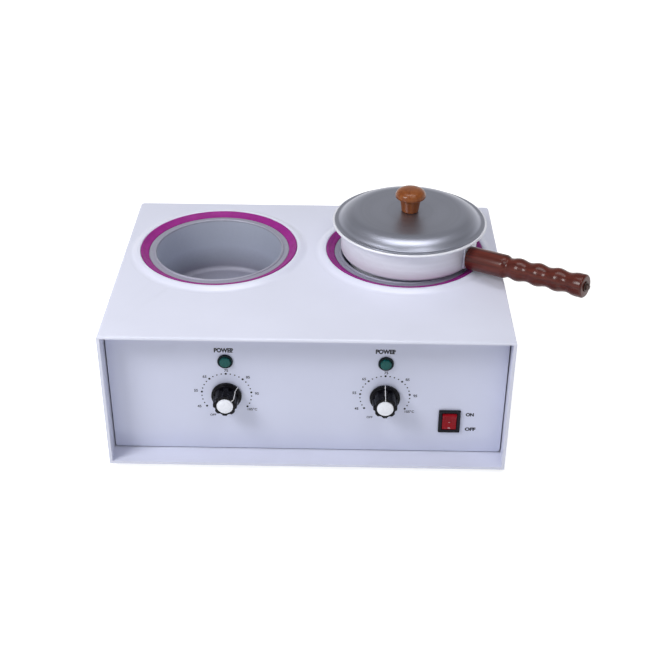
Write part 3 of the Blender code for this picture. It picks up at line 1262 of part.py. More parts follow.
def make_pan(materials, root):
    """The outline starts inside on the floor, climbs to the rolled rim and comes down the outside."""
    pan_axis = add_empty("pan_axis", root, (PAN_X, WELL_Y, TOP_Z))
    inner, lower_inner = PAN_RADIUS - PAN_WALL, PAN_LOWER_RADIUS - PAN_WALL
    bottom = PAN_BOTTOM_Z
    low_corner = (PAN_LOWER_RADIUS - PAN_FILLET, bottom + PAN_FILLET)
    step_corner = (PAN_RADIUS - PAN_STEP_FILLET, PAN_STEP_RISE + PAN_STEP_FILLET)
    inner_fillet, inner_step = PAN_FILLET - PAN_WALL, PAN_STEP_FILLET - PAN_WALL
    rim = (PAN_RIM_RADIUS, PAN_RIM_HEIGHT)
    outline = [(0, bottom + PAN_WALL)]
    outline += arc(low_corner, inner_fillet, inner_fillet, -QUARTER_TURN, 0, 2)
    outline += [(lower_inner, PAN_STEP_RISE + PAN_WALL)]
    outline += arc(step_corner, inner_step, inner_step, -QUARTER_TURN, 0, 2)
    outline += [(inner, PAN_FLARE_HEIGHT), (inner + PAN_WALL * 1.2, PAN_FLARE_HEIGHT + PAN_WALL * 1.6)]
    outline += arc(rim, PAN_RIM_ROLL, PAN_RIM_ROLL, math.pi * 0.75, -QUARTER_TURN, 4)
    outline += [
        (PAN_RIM_RADIUS - PAN_RIM_ROLL - PAN_WALL, PAN_RIM_HEIGHT - PAN_RIM_ROLL - PAN_WALL / 4),
        (PAN_RADIUS + PAN_WALL * 0.8, PAN_FLARE_HEIGHT + PAN_WALL * 0.5),
        (PAN_RADIUS, PAN_FLARE_HEIGHT - PAN_WALL),
    ]
    outline += arc(step_corner, PAN_STEP_FILLET, PAN_STEP_FILLET, 0, -QUARTER_TURN, 2)
    outline += [(PAN_LOWER_RADIUS, PAN_STEP_RISE)]
    outline += arc(low_corner, PAN_FILLET, PAN_FILLET, 0, -QUARTER_TURN, 3)
    outline += [(0, bottom)]
    pan = turned("pan_body", outline, materials["aluminium"], ROUND_STEPS)
    place(pan, pan_axis, rotation=(0, 0, HANDLE_AZIMUTH + FACET / 2))
    bracket = make_bracket(pan, pan_axis, materials)
    make_handle(bracket, pan_axis, materials)
    make_lid(pan_axis, materials)


def make_bracket(pan, pan_axis, materials):
    """A strip curved to the pan's wall, held by a flush rivet above and one below the boss for the handle."""
    facing = (0, 0, HANDLE_AZIMUTH)
    wall_face = PAN_RADIUS + SEAT_GAP
    middle = wall_face + BRACKET_SHEET / 2
    curve = arc((0, 0), middle, middle, -BRACKET_HALF_ANGLE, BRACKET_HALF_ANGLE, 5)
    strip = strip_outline(curve, BRACKET_SHEET)
    bracket = extruded("handle_bracket", strip, BRACKET_HIGH - BRACKET_LOW, materials["steel"])
    bracket.data.transform(Matrix.Translation((0, 0, (BRACKET_LOW + BRACKET_HIGH) / 2)))
    place(bracket, pan_axis, rotation=facing)

    inner_face = (PAN_RADIUS - PAN_WALL) * FLAT_SHARE - SEAT_GAP
    outer_face = wall_face + BRACKET_SHEET
    rivet = turned_mesh(
        "rivet",
        [
            (0, outer_face),
            (RIVET_RADIUS, outer_face),
            (RIVET_RADIUS, inner_face),
            (RIVET_HEAD_RADIUS, inner_face),
            (RIVET_HEAD_RADIUS * 0.6, inner_face - RIVET_HEAD),
            (0, inner_face - RIVET_HEAD),
        ],
        SMALL_STEPS,
    )
    lying = (0, QUARTER_TURN, HANDLE_AZIMUTH)
    for label, rise in (("lower", -RIVET_SPACING / 2), ("upper", RIVET_SPACING / 2)):
        height = HANDLE_HEIGHT + rise
        place(add_object(label + "_rivet", rivet, materials["aluminium"]), pan_axis, (0, 0, height), lying)
        hole_radius = RIVET_RADIUS + SEAT_GAP
        hole = cylinder(label + "_rivet_hole", hole_radius, inner_face - OVERRUN, outer_face + OVERRUN)
        place(hole, pan_axis, (0, 0, height), lying)
        cut(pan, hole)
        cut(bracket, hole)
    return bracket


def make_handle(bracket, pan_axis, materials):
    """A handle turned in wood, bored through for the bolt that draws it against the bracket's boss."""
    lean = (0, QUARTER_TURN - HANDLE_ELEVATION, HANDLE_AZIMUTH)
    spot = (
        HANDLE_ROOT_RADIUS * math.cos(HANDLE_AZIMUTH),
        HANDLE_ROOT_RADIUS * math.sin(HANDLE_AZIMUTH),
        HANDLE_HEIGHT,
    )
    handle_root = add_empty("handle_root", pan_axis, spot, lean)
    boss_start = PAN_RADIUS + SEAT_GAP + BRACKET_SHEET / 2 - HANDLE_ROOT_RADIUS
    boss = cylinder("bracket_boss", BOSS_RADIUS, boss_start, -SEAT_GAP, steps=MEDIUM_STEPS)
    join(bracket, place(boss, handle_root))
    bolt_low = -BOLT_INTO_BOSS - SEAT_GAP
    bore = cylinder("boss_bore", BOLT_RADIUS + SEAT_GAP, bolt_low - SEAT_GAP, OVERRUN)
    cut(bracket, place(bore, handle_root))

    crest_radius = HANDLE_MID_RADIUS + HANDLE_WAVE
    end_corner = (crest_radius - HANDLE_END_ROUND, HANDLE_LENGTH - HANDLE_END_ROUND)
    first_trough = HANDLE_FIRST_CREST - HANDLE_WAVE_PITCH / 2
    outline = [(HANDLE_BORE_RADIUS, HANDLE_LENGTH)]
    outline += arc(end_corner, HANDLE_END_ROUND, HANDLE_END_ROUND, QUARTER_TURN, 0, 4)
    for i in range(int((HANDLE_CRESTS - 0.5) * HANDLE_WAVE_POINTS), -1, -1):
        along = i / HANDLE_WAVE_POINTS
        wave = math.cos((along - 0.5) * FULL_TURN)
        outline.append((HANDLE_MID_RADIUS + HANDLE_WAVE * wave, first_trough + along * HANDLE_WAVE_PITCH))
    outline += [
        (HANDLE_MID_RADIUS + HANDLE_WAVE * 0.3, first_trough - HANDLE_WAVE_PITCH * 0.14),
        (HANDLE_RADIUS, first_trough - HANDLE_WAVE_PITCH * 0.27),
        (HANDLE_RADIUS, HANDLE_ROOT_ROUND),
        (HANDLE_RADIUS - HANDLE_ROOT_ROUND, 0),
        (HANDLE_BORE_RADIUS, 0),
    ]
    place(turned("pan_handle", outline, materials["dark_wood"]), handle_root)

    washer_low = HANDLE_LENGTH + SEAT_GAP
    nut_low = washer_low + END_WASHER
    bolt_end = nut_low + END_NUT_HEIGHT / 2
    place(cylinder("handle_bolt", BOLT_RADIUS, bolt_low, bolt_end, materials["steel"]), handle_root)
    bore = BOLT_RADIUS + SEAT_GAP
    nut_outline = [
        (0, nut_low + END_NUT_HEIGHT),
        (END_NUT_RADIUS * 0.7, nut_low + END_NUT_HEIGHT * 0.85),
        (END_NUT_RADIUS, nut_low + END_NUT_HEIGHT / 2),
        (END_NUT_RADIUS, nut_low),
        (END_WASHER_RADIUS, nut_low),
        (END_WASHER_RADIUS, washer_low),
        (bore, washer_low),
        (bore, bolt_end + SEAT_GAP),
        (0, bolt_end + SEAT_GAP),
    ]
    place(turned("handle_end_nut", nut_outline, materials["steel"], SMALL_STEPS), handle_root)


def make_lid(pan_axis, materials):
    """A domed sheet with a turned-in seat, and a short spigot that centres it in the pan's mouth."""
    lid_axis = add_empty("lid_axis", pan_axis, (0, 0, 0))
    edge_z = LID_SEAT_Z + LID_EDGE
    outer_x, outer_z = LID_RADIUS - LID_FLAT_RADIUS, LID_TOP_Z - edge_z
    inner_x, inner_z = outer_x - LID_SHEET, outer_z - LID_SHEET
    spigot = PAN_RADIUS - PAN_WALL - LID_SPIGOT_CLEARANCE
    bore = LID_SCREW_RADIUS + SEAT_GAP
    outline = [(bore, LID_TOP_Z)]
    outline += arc((LID_FLAT_RADIUS, edge_z), outer_x, outer_z, QUARTER_TURN, 0, SHOULDER_POINTS)
    outline += [
        (LID_RADIUS, LID_SEAT_Z),
        (spigot, LID_SEAT_Z),
        (spigot, LID_SEAT_Z - LID_SPIGOT),
        (spigot - LID_SHEET, LID_SEAT_Z - LID_SPIGOT),
        (spigot - LID_SHEET, LID_SEAT_Z + LID_SHEET),
        (LID_RADIUS - LID_SHEET, LID_SEAT_Z + LID_SHEET),
    ]
    outline += arc((LID_FLAT_RADIUS, edge_z), inner_x, inner_z, 0, QUARTER_TURN, SHOULDER_POINTS)[1:]
    outline += [(bore, LID_TOP_Z - LID_SHEET)]
    place(turned("lid_shell", outline, materials["aluminium"], ROUND_STEPS), lid_axis)

    foot = LID_TOP_Z + SEAT_GAP
    stem_top = foot + LID_KNOB_STEM
    cap_middle = (LID_KNOB_RADIUS * 0.55, stem_top + LID_KNOB_UNDERCUT)
    cap_rise = foot + LID_KNOB_HEIGHT - cap_middle[1]
    knob_outline = [(0, foot + LID_KNOB_HEIGHT)]
    knob_outline += arc(
        cap_middle, LID_KNOB_RADIUS * 0.45, cap_rise * 0.85, QUARTER_TURN, -QUARTER_TURN / 3, 5
    )
    knob_outline += [
        (LID_KNOB_NECK_RADIUS, stem_top),
        ((LID_KNOB_NECK_RADIUS + LID_KNOB_FOOT_RADIUS) / 2, foot + LID_KNOB_STEM * 0.6),
        (LID_KNOB_FOOT_RADIUS, foot),
        (bore, foot),
        (bore, foot + LID_KNOB_BORE),
        (0, foot + LID_KNOB_BORE),
    ]
    place(turned("lid_knob", knob_outline, materials["light_wood"]), lid_axis)

    underside = LID_TOP_Z - LID_SHEET - SEAT_GAP
    length = LID_SHEET + 2 * SEAT_GAP + LID_SCREW_LENGTH
    screw = screw_mesh("lid_screw", LID_SCREW_HEAD_RADIUS, LID_SCREW_HEAD, LID_SCREW_RADIUS, length)
    place(add_object("lid_screw", screw, materials["steel"]), lid_axis, (0, 0, underside), (math.pi, 0, 0))


def shade_round_pieces():
    for item in parts.objects:
        if item.type == "MESH":
            item.data.shade_smooth()
            item.data.set_sharp_from_angle(angle=SHARP_ANGLE)


def stand_on_origin(root):
    """Move the whole assembly so that the middle of its underside is at the origin."""
    bpy.context.view_layer.update()
    graph = bpy.context.evaluated_depsgraph_get()
    points = []
    for item in parts.objects:
        if item.type != "EMPTY":
            evaluated = item.evaluated_get(graph)
            points += [evaluated.matrix_world @ vertex.co for vertex in evaluated.to_mesh().vertices]
    low, high = ([pick(point[axis] for point in points) for axis in range(3)] for pick in (min, max))
    root.location = (-(low[0] + high[0]) / 2, -(low[1] + high[1]) / 2, -low[2])


def main():
    clear_scene()
    make_collections()
    materials = make_materials()
    root = add_empty("assembly", None, (0, 0, 0))
    make_case_shell(materials, root)
    make_base(materials, root)
    make_front_panel(materials, root)
    make_wells(materials, root)
    make_thermostats(materials, root)
    make_dials(materials, root)
    make_lamps(materials, root)
    make_switch(materials, root)
    make_inlet(materials, root)
    make_terminal_block(materials, root)
    make_pan(materials, root)
    shade_round_pieces()
    stand_on_origin(root)


main()
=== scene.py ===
"""The double wax warmer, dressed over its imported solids.

Outlines and the sizes of pieces are in millimetres. Places, the floor, the lights and the camera are in
metres. Z is up and the front faces -Y.
"""

import math

import bmesh
import bpy
from mathutils import Matrix, Vector


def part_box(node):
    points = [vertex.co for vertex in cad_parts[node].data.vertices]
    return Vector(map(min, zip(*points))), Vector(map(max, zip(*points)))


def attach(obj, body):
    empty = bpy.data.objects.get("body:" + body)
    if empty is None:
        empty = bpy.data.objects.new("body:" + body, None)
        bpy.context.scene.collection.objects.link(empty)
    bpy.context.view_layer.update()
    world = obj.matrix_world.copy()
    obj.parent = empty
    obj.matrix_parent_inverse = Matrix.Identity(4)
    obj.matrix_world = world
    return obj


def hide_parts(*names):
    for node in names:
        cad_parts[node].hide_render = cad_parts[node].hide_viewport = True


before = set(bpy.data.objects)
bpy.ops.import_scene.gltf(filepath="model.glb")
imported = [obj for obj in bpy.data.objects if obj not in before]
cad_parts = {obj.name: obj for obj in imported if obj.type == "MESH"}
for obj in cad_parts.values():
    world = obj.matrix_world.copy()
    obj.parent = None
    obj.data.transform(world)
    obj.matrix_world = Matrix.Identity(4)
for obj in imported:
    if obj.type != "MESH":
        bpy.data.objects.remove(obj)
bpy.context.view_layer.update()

MM = 0.001
FINE, MEDIUM, COARSE = 160, 96, 48     # facets round the large, the middling and the small turned pieces


def middle(node):
    low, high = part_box(node)
    return (low + high) / 2


def millimetres(length):
    """A length read from the frame, to the nearest thousandth."""
    return round(length / MM, 3)


def size_of(node):
    """The node's width, depth and height in millimetres."""
    low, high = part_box(node)
    return [millimetres(length) for length in high - low]


def radius_of(node):
    """The radius in millimetres of a node that is round seen from above or from the front."""
    return size_of(node)[0] / 2


# Places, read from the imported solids

CASE_LOW, CASE_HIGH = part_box("case_shell")
COLLAR_HEIGHT = 3.2
TOP_Z = CASE_HIGH.z - COLLAR_HEIGHT * MM
PANEL_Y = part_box("front_panel")[0].y
CASE_X = (CASE_LOW.x + CASE_HIGH.x) / 2
CASE_Y = (CASE_LOW.y + CASE_HIGH.y) / 2
FLOOR_Z = CASE_LOW.z
SIDES = ("left", "right")
WELLS = {side: middle(side + "_seal_ring") for side in SIDES}
DIALS = {side: middle(side + "_knob_cap") for side in SIDES}
LAMPS = {side: middle(side + "_lamp_lens") for side in SIDES}
SWITCH = middle("switch_housing")
PAN_AXIS = Vector((middle("lid_shell").x, middle("lid_shell").y, TOP_Z))
DIAL_TURNS = {"left": math.radians(48), "right": 0.0}
FACING_FRONT = Matrix.Rotation(math.pi / 2, 4, "X")    # local Z to the front, local Y up
FACING_BACK = Matrix.Rotation(math.pi, 4, "Z") @ FACING_FRONT


def at(x, y, z):
    """The place so many millimetres from the middle of the case's underside."""
    return Vector((CASE_X + x * MM, CASE_Y + y * MM, FLOOR_Z + z * MM))


def over(well):
    """The frame of what is turned about a well's axis, level with the case's top."""
    return Matrix.Translation((well.x, well.y, TOP_Z))


def on_panel(spot):
    """The frame of what stands on the front panel, in front of a place."""
    return Matrix.Translation((spot.x, PANEL_Y, spot.z)) @ FACING_FRONT


def heights_of(node):
    """The node's lowest and highest point, in millimetres from the case's top."""
    return [millimetres(corner.z - TOP_Z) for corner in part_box(node)]


def front_of(node):
    """How many millimetres the node's front stands out from the panel."""
    return millimetres(PANEL_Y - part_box(node)[0].y)


# Sizes that several pieces share

SHEET = 1.5                  # the case's sheet, and the walls of the pan and the wells
INK = 0.03                   # half the thickness of the print
# The next heights are from the case's top.
WELL_FLOOR, WELL_TOP = -62.8, 0.6
SEAL_SEAT = -2.6             # the step in the collar that carries the seal ring
LID_TOP = 48.1


# Outlines


def rounded(points, steps=7):
    """The path with its corners rounded. A point is (x, y) or (x, y, radius)."""
    path = []
    for i, point in enumerate(points):
        here = Vector(point[:2])
        if len(point) < 3 or i in (0, len(points) - 1):
            path.append(here)
            continue
        before, after = Vector(points[i - 1][:2]) - here, Vector(points[i + 1][:2]) - here
        half = before.angle(after) / 2
        reach = min(point[2] / math.tan(half), before.length * 0.49, after.length * 0.49)
        start, end = here + before.normalized() * reach, here + after.normalized() * reach
        inward = (before.normalized() + after.normalized()).normalized()
        centre = here + inward * (reach / math.cos(half))
        turn = math.pi - 2 * half
        for k in range(steps + 1):
            a = math.sin(turn * (1 - k / steps)) / math.sin(turn)
            b = math.sin(turn * k / steps) / math.sin(turn)
            path.append(centre + (start - centre) * a + (end - centre) * b)
    return path


def flowing(points, per_leg=6):
    """A smooth curve through the points."""
    points = [Vector(p) for p in points]
    ends = [points[0] * 2 - points[1]] + points + [points[-1] * 2 - points[-2]]
    path = []
    for i in range(1, len(ends) - 2):
        a, b, c, d = ends[i - 1 : i + 3]
        for step in range(per_leg):
            t = step / per_leg
            bend = (2 * a - 5 * b + 4 * c - d) * t**2 + (3 * b - a - 3 * c + d) * t**3
            path.append((2 * b + (c - a) * t + bend) / 2)
    return path + [points[-1]]


def arc(x, y, radius_x, radius_y, start, end, steps=16):
    """Points along an elliptical arc, with its angles in degrees."""
    turns = [math.radians(start + (end - start) * k / steps) for k in range(steps + 1)]
    return [Vector((x + radius_x * math.cos(t), y + radius_y * math.sin(t))) for t in turns]


def circle(x, radius, steps):
    """A closed outline round a centre on the X axis."""
    turns = [2 * math.pi * i / steps for i in range(steps)]
    return [(x + radius * math.cos(t), radius * math.sin(t)) for t in turns]


def rounded_rectangle(width, height, radius, steps=8):
    x, y = width / 2 - radius, height / 2 - radius
    outline = []
    for centre_x, centre_y, start in ((x, y, 0), (-x, y, 90), (-x, -y, 180), (x, -y, 270)):
        outline += arc(centre_x, centre_y, radius, radius, start, start + 90, steps)
    return outline


# Meshes


def add(name, mesh, matrix=Matrix.Identity(4)):
    piece = bpy.data.objects.new(name, mesh)
    bpy.context.scene.collection.objects.link(piece)
    piece.matrix_world = matrix
    return piece


def shade(mesh, sharp=35):
    """Smooth shading, with the edges kept sharp where faces meet at more than this many degrees."""
    mesh.shade_smooth()
    mesh.set_sharp_from_angle(angle=math.radians(sharp))


def mesh_of(name, bm, sharp=35):
    bmesh.ops.recalc_face_normals(bm, faces=bm.faces[:])
    mesh = bpy.data.meshes.new(name)
    bm.to_mesh(mesh)
    bm.free()
    shade(mesh, sharp)
    return mesh


def lathe(name, profile, matrix, segments=FINE, closed=False, reach=None, sharp=35):
    """A piece turned about its own Z. reach(radius, height, turn) may change the radius round the piece."""
    bm = bmesh.new()
    turns = [2 * math.pi * i / segments for i in range(segments)]
    rings = []
    for radius, height in profile:
        if radius < 1e-6:
            rings.append([bm.verts.new((0, 0, height * MM))])
            continue
        ring = []
        for turn in turns:
            r = (reach(radius, height, turn) if reach else radius) * MM
            ring.append(bm.verts.new((r * math.cos(turn), r * math.sin(turn), height * MM)))
        rings.append(ring)
    if closed:
        rings.append(rings[0])
    for low, high in zip(rings, rings[1:]):
        for i in range(segments):
            j = (i + 1) % segments
            corners = (low[i % len(low)], low[j % len(low)], high[j % len(high)], high[i % len(high)])
            corners = list(dict.fromkeys(corners))
            if len(corners) > 2:
                bm.faces.new(corners)
    return add(name, mesh_of(name, bm, sharp), matrix)


def prism(name, outline, low, high, matrix):
    """The outline raised from low to high along its own Z."""
    bm = bmesh.new()
    bottom = [bm.verts.new((x * MM, y * MM, low * MM)) for x, y in outline]
    top = [bm.verts.new((x * MM, y * MM, high * MM)) for x, y in outline]
    bm.faces.new(bottom)
    bm.faces.new(top)
    for i in range(len(bottom)):
        j = (i + 1) % len(bottom)
        bm.faces.new((bottom[i], bottom[j], top[j], top[i]))
    return add(name, mesh_of(name, bm), matrix)


def block(name, low, high):
    """A plain box between two corners, in metres."""
    bm = bmesh.new()
    bmesh.ops.create_cube(bm, size=1)
    bmesh.ops.scale(bm, vec=Vector(high) - Vector(low), verts=bm.verts)
    bmesh.ops.translate(bm, vec=(Vector(high) + Vector(low)) / 2, verts=bm.verts)
    return add(name, mesh_of(name, bm))


def bake(piece):
    """Turns the piece's modifiers into its mesh."""
    graph = bpy.context.evaluated_depsgraph_get()
    mesh = bpy.data.meshes.new_from_object(piece.evaluated_get(graph))
    piece.modifiers.clear()
    piece.data = mesh


def combine(piece, operation, *others):
    for other in others:
        modifier = piece.modifiers.new("combine", "BOOLEAN")
        modifier.operation = operation
        modifier.solver = "EXACT"
        modifier.object = other
    bake(piece)
    for other in others:
        bpy.data.objects.remove(other)


def carve(piece, *cutters):
    combine(piece, "DIFFERENCE", *cutters)


def weigh_normals(piece, keep_sharp):
    weighted = piece.modifiers.new("normals", "WEIGHTED_NORMAL")
    weighted.keep_sharp = keep_sharp
    bake(piece)


def soften(piece, width, segments=3, angle=40):
    """Rounds the piece's sharp edges and keeps its flats flat."""
    bevel = piece.modifiers.new("edges", "BEVEL")
    bevel.width = width * MM
    bevel.segments = segments
    bevel.limit_method = "ANGLE"
    bevel.angle_limit = math.radians(angle)
    bevel.harden_normals = False
    weigh_normals(piece, False)
    shade(piece.data, 60)
    weigh_normals(piece, True)


def dress(piece, body, finish, slot, *nodes):
    """Gives the piece its finish and its body, and lets it stand for the CAD nodes named."""
    piece.data.materials.clear()
    piece.data.materials.append(finish)
    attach(piece, body)
    if nodes:
        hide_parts(*nodes)


# Paint and print


def ribbon(name, path, width, thickness, matrix):
    """A thin line of paint along a path in the piece's own YZ plane."""
    bm = bmesh.new()
    rows = []
    for y, z in path:
        rows.append([bm.verts.new((x * MM, y * MM, z * MM)) for x in (-width / 2, width / 2)])
    for low, high in zip(rows, rows[1:]):
        bm.faces.new((low[0], low[1], high[1], high[0]))
    piece = add(name, mesh_of(name, bm), matrix)
    solid = piece.modifiers.new("thickness", "SOLIDIFY")
    solid.thickness = thickness * MM
    solid.offset = 0
    bake(piece)
    return piece


def stamp(bm, words, x, z, height, width=None, bold=0.0, turn=0.0):
    """Adds the words as thin raised print in the XZ plane, centred on a place."""
    text = bpy.data.curves.new("words", "FONT")
    text.body = words
    text.offset = bold
    text.extrude = 0.01          # the loop below sets the thickness
    piece = bpy.data.objects.new("words", text)
    bpy.context.scene.collection.objects.link(piece)
    mesh = bpy.data.meshes.new_from_object(piece.evaluated_get(bpy.context.evaluated_depsgraph_get()))
    bpy.data.objects.remove(piece)
    xs, ys = [v.co.x for v in mesh.vertices], [v.co.y for v in mesh.vertices]
    size_y = height * MM / (max(ys) - min(ys))
    size_x = width * MM / (max(xs) - min(xs)) if width else size_y
    middle_x, middle_y = (max(xs) + min(xs)) / 2, (max(ys) + min(ys)) / 2
    spin = Matrix.Rotation(math.radians(turn), 4, "Y")
    for v in mesh.vertices:
        depth = (INK if v.co.z < 0 else -INK) * MM
        flat = Vector(((v.co.x - middle_x) * size_x, depth, (v.co.y - middle_y) * size_y))
        v.co = spin @ flat + Vector((x * MM, 0, z * MM))
    bm.from_mesh(mesh)
    bpy.data.meshes.remove(mesh)


def dot(bm, x, z, radius):
    """A round dot, facing the front."""
    spot = Matrix.Translation((x * MM, 0, z * MM)) @ FACING_FRONT
    size = {"radius1": radius * MM, "radius2": radius * MM, "depth": 2 * INK * MM}
    bmesh.ops.create_cone(bm, cap_ends=True, segments=20, matrix=spot, **size)


# Finishes


class Shading:
    """A node tree, and the moves that the finishes, the floor and the sky make in it."""

    def __init__(self, tree):
        self.tree = tree

    def node(self, kind, **settings):
        made = self.tree.nodes.new("ShaderNode" + kind)
        for key, value in settings.items():
            setattr(made, key, value)
        return made

    def link(self, source, target):
        self.tree.links.new(source, target)

    def feed(self, target, value):
        """Sets an input to a number, or links it to a socket."""
        if isinstance(value, (int, float)):
            target.default_value = value
        else:
            self.link(value, target)

    def maths(self, operation, *values):
        made = self.node("Math", operation=operation)
        for target, value in zip(made.inputs, values):
            self.feed(target, value)
        return made.outputs["Value"]

    def length(self, vector):
        made = self.node("VectorMath", operation="LENGTH")
        self.link(vector, made.inputs[0])
        return made.outputs["Value"]

    def mapped(self, value, from_low, from_high, to_low, to_high):
        """One range of values carried over to another, and held at its ends."""
        made = self.node("MapRange")
        limits = {"From Min": from_low, "From Max": from_high, "To Min": to_low, "To Max": to_high}
        for socket, limit in limits.items():
            made.inputs[socket].default_value = limit
        self.link(value, made.inputs["Value"])
        return made.outputs["Result"]

    def chosen(self, factor, off, on):
        made = self.node("Mix", data_type="FLOAT")
        self.link(factor, made.inputs["Factor"])
        self.feed(made.inputs["A"], off)
        self.feed(made.inputs["B"], on)
        return made.outputs["Result"]


class Finish(Shading):
    """A Principled material, with its detail in the coordinates of the piece that wears it."""

    def __init__(self, name, roughness=0.4, metallic=0.0, **shader_values):
        self.material = bpy.data.materials.new(name)
        self.material.use_nodes = True
        super().__init__(self.material.node_tree)
        self.shader = self.tree.nodes["Principled BSDF"]
        self.shader.inputs["Roughness"].default_value = roughness
        self.shader.inputs["Metallic"].default_value = metallic
        for socket, value in shader_values.items():
            self.shader.inputs[socket.replace("_", " ")].default_value = value
        self.coordinates = self.node("TexCoord").outputs["Object"]

    def apart(self):
        """The three coordinates, each by itself."""
        parts = self.node("SeparateXYZ")
        self.link(self.coordinates, parts.inputs["Vector"])
        return parts.outputs

    def stretched(self, x, y, z):
        """The piece's coordinates, scaled along each axis."""
        mapping = self.node("Mapping")
        mapping.inputs["Scale"].default_value = (x, y, z)
        self.link(self.coordinates, mapping.inputs["Vector"])
        return mapping.outputs["Vector"]

    def turned(self, scale=1.0):
        """Coordinates that change only with the distance from the piece's Z axis and along it."""
        parts = self.apart()
        flat = self.node("CombineXYZ")
        self.link(parts["X"], flat.inputs["X"])
        self.link(parts["Y"], flat.inputs["Y"])
        both = self.node("CombineXYZ")
        self.link(self.maths("MULTIPLY", self.length(flat.outputs["Vector"]), scale), both.inputs["X"])
        self.link(self.maths("MULTIPLY", parts["Z"], scale), both.inputs["Z"])
        return both.outputs["Vector"]

    def noise(self, scale, detail=2.0, vector=None, distortion=0.0):
        noise = self.node("TexNoise")
        noise.inputs["Scale"].default_value = scale
        noise.inputs["Detail"].default_value = detail
        noise.inputs["Distortion"].default_value = distortion
        self.link(vector or self.coordinates, noise.inputs["Vector"])
        return noise.outputs["Fac"]

    def cells(self, scale):
        cells = self.node("TexVoronoi")
        cells.inputs["Scale"].default_value = scale
        self.link(self.coordinates, cells.inputs["Vector"])
        return cells.outputs

    def wave(self, scale, distortion, direction):
        wave = self.node("TexWave", bands_direction=direction)
        wave.inputs["Scale"].default_value = scale
        wave.inputs["Distortion"].default_value = distortion
        self.link(self.coordinates, wave.inputs["Vector"])
        return wave.outputs["Fac"]

    def colours(self, factor, *stops):
        """Colours along a factor: each stop is (place, (red, green, blue)), in linear light."""
        ramp = self.node("ValToRGB")
        while len(ramp.color_ramp.elements) < len(stops):
            ramp.color_ramp.elements.new(0.5)
        for element, (place, colour) in zip(ramp.color_ramp.elements, stops):
            element.position = place
            element.color = (*colour, 1)
        self.link(factor, ramp.inputs["Fac"])
        self.link(ramp.outputs["Color"], self.shader.inputs["Base Color"])

    def roughness(self, factor, low, high):
        """Roughness that follows the middle of a noise's range."""
        self.link(self.mapped(factor, 0.3, 0.7, low, high), self.shader.inputs["Roughness"])

    def bumps(self, *layers):
        """Relief, each layer as (height, strength, depth), and then the finished material."""
        below = None
        for height, strength, depth in layers:
            bump = self.node("Bump")
            bump.inputs["Strength"].default_value = strength
            bump.inputs["Distance"].default_value = depth * MM
            self.link(height, bump.inputs["Height"])
            if below:
                self.link(below, bump.inputs["Normal"])
            below = bump.outputs["Normal"]
        self.link(below, self.shader.inputs["Normal"])
        return self.material


def around(colour, spread):
    """A darker and a lighter stop round a colour."""
    darker = tuple(c * (1 - spread) for c in colour)
    lighter = tuple(c * (1 + spread) for c in colour)
    return (0.3, darker), (0.7, lighter)


def powder_coat(name, colour):
    """Semi-gloss paint: faint clouds of tone and two sizes of orange peel."""
    look = Finish(name, Coat_Weight=0.25, Coat_Roughness=0.12)
    look.colours(look.noise(14, 4), *around(colour, 0.018))
    look.roughness(look.noise(60, 3), 0.30, 0.40)
    return look.bumps((look.noise(420, 3), 0.10, 0.05), (look.noise(1900, 1), 0.05, 0.02))


def spun_metal(name, colour, low, high, metallic):
    """Metal turned on a lathe: fine rings round its axis, and broader ones where the tool dwelt."""
    look = Finish(name, metallic=metallic, Anisotropic=0.2)
    tangent = look.node("Tangent", direction_type="RADIAL", axis="Z")
    look.link(tangent.outputs["Tangent"], look.shader.inputs["Tangent"])
    fine, broad = look.noise(2600, 2, look.turned()), look.noise(220, 2, look.turned())
    look.colours(look.noise(90, 4, look.turned(2.0)), *around(colour, 0.04))
    look.roughness(broad, low, high)
    return look.bumps((fine, 0.02, 0.03), (broad, 0.01, 0.05), (look.noise(35, 3), 0.03, 0.2))


def satin_pot(name, floor, top, floor_shade_colour, wall_colour, rim_colour):
    """A blasted and anodised pot, dull all over, with painted shade that darkens it towards its floor."""
    look = Finish(name, metallic=0.45)
    height = look.mapped(look.apart()["Z"], floor * MM, top * MM, 0.0, 1.0)
    clouded = look.maths("MULTIPLY_ADD", look.noise(160, 4), 0.03, height)
    # The colour near the floor is painted shade for the bottom of the deep well.
    look.colours(clouded, (0.05, floor_shade_colour), (0.50, wall_colour), (0.97, wall_colour), (0.99, rim_colour))
    look.roughness(look.noise(300, 3), 0.52, 0.62)
    return look.bumps((look.noise(1800, 2), 0.06, 0.03), (look.noise(35, 3), 0.03, 0.2))


def lacquered_wood(name, dark, light):
    """Turned wood under clear lacquer: long streaks, darker pores and a polished film on top."""
    look = Finish(name, Specular_IOR_Level=0.15, Coat_Weight=0.35, Coat_Roughness=0.18)
    streaks = look.noise(240, 6, look.stretched(1, 1, 0.07), 0.6)
    pores = look.noise(1500, 3, look.stretched(1, 1, 0.05))
    middle_tone = tuple((a + b) / 2 for a, b in zip(dark, light))
    mixed = look.maths("MULTIPLY_ADD", pores, 0.35, streaks)
    look.colours(mixed, (0.42, dark), (0.64, middle_tone), (0.86, light))
    look.roughness(streaks, 0.28, 0.42)
    return look.bumps((pores, 0.05, 0.03), (look.noise(60, 2), 0.04, 0.3))


def moulded(name, colour, low, high, texture=0.05, **shader_values):
    """Moulded plastic: slightly uneven, with faint handling marks in its gloss."""
    look = Finish(name, **shader_values)
    look.colours(look.noise(70, 3), *around(colour, 0.05))
    look.roughness(look.noise(130, 5, None, 1.0), low, high)
    return look.bumps((look.noise(900, 2), texture, 0.03), (look.noise(50, 2), 0.03, 0.2))


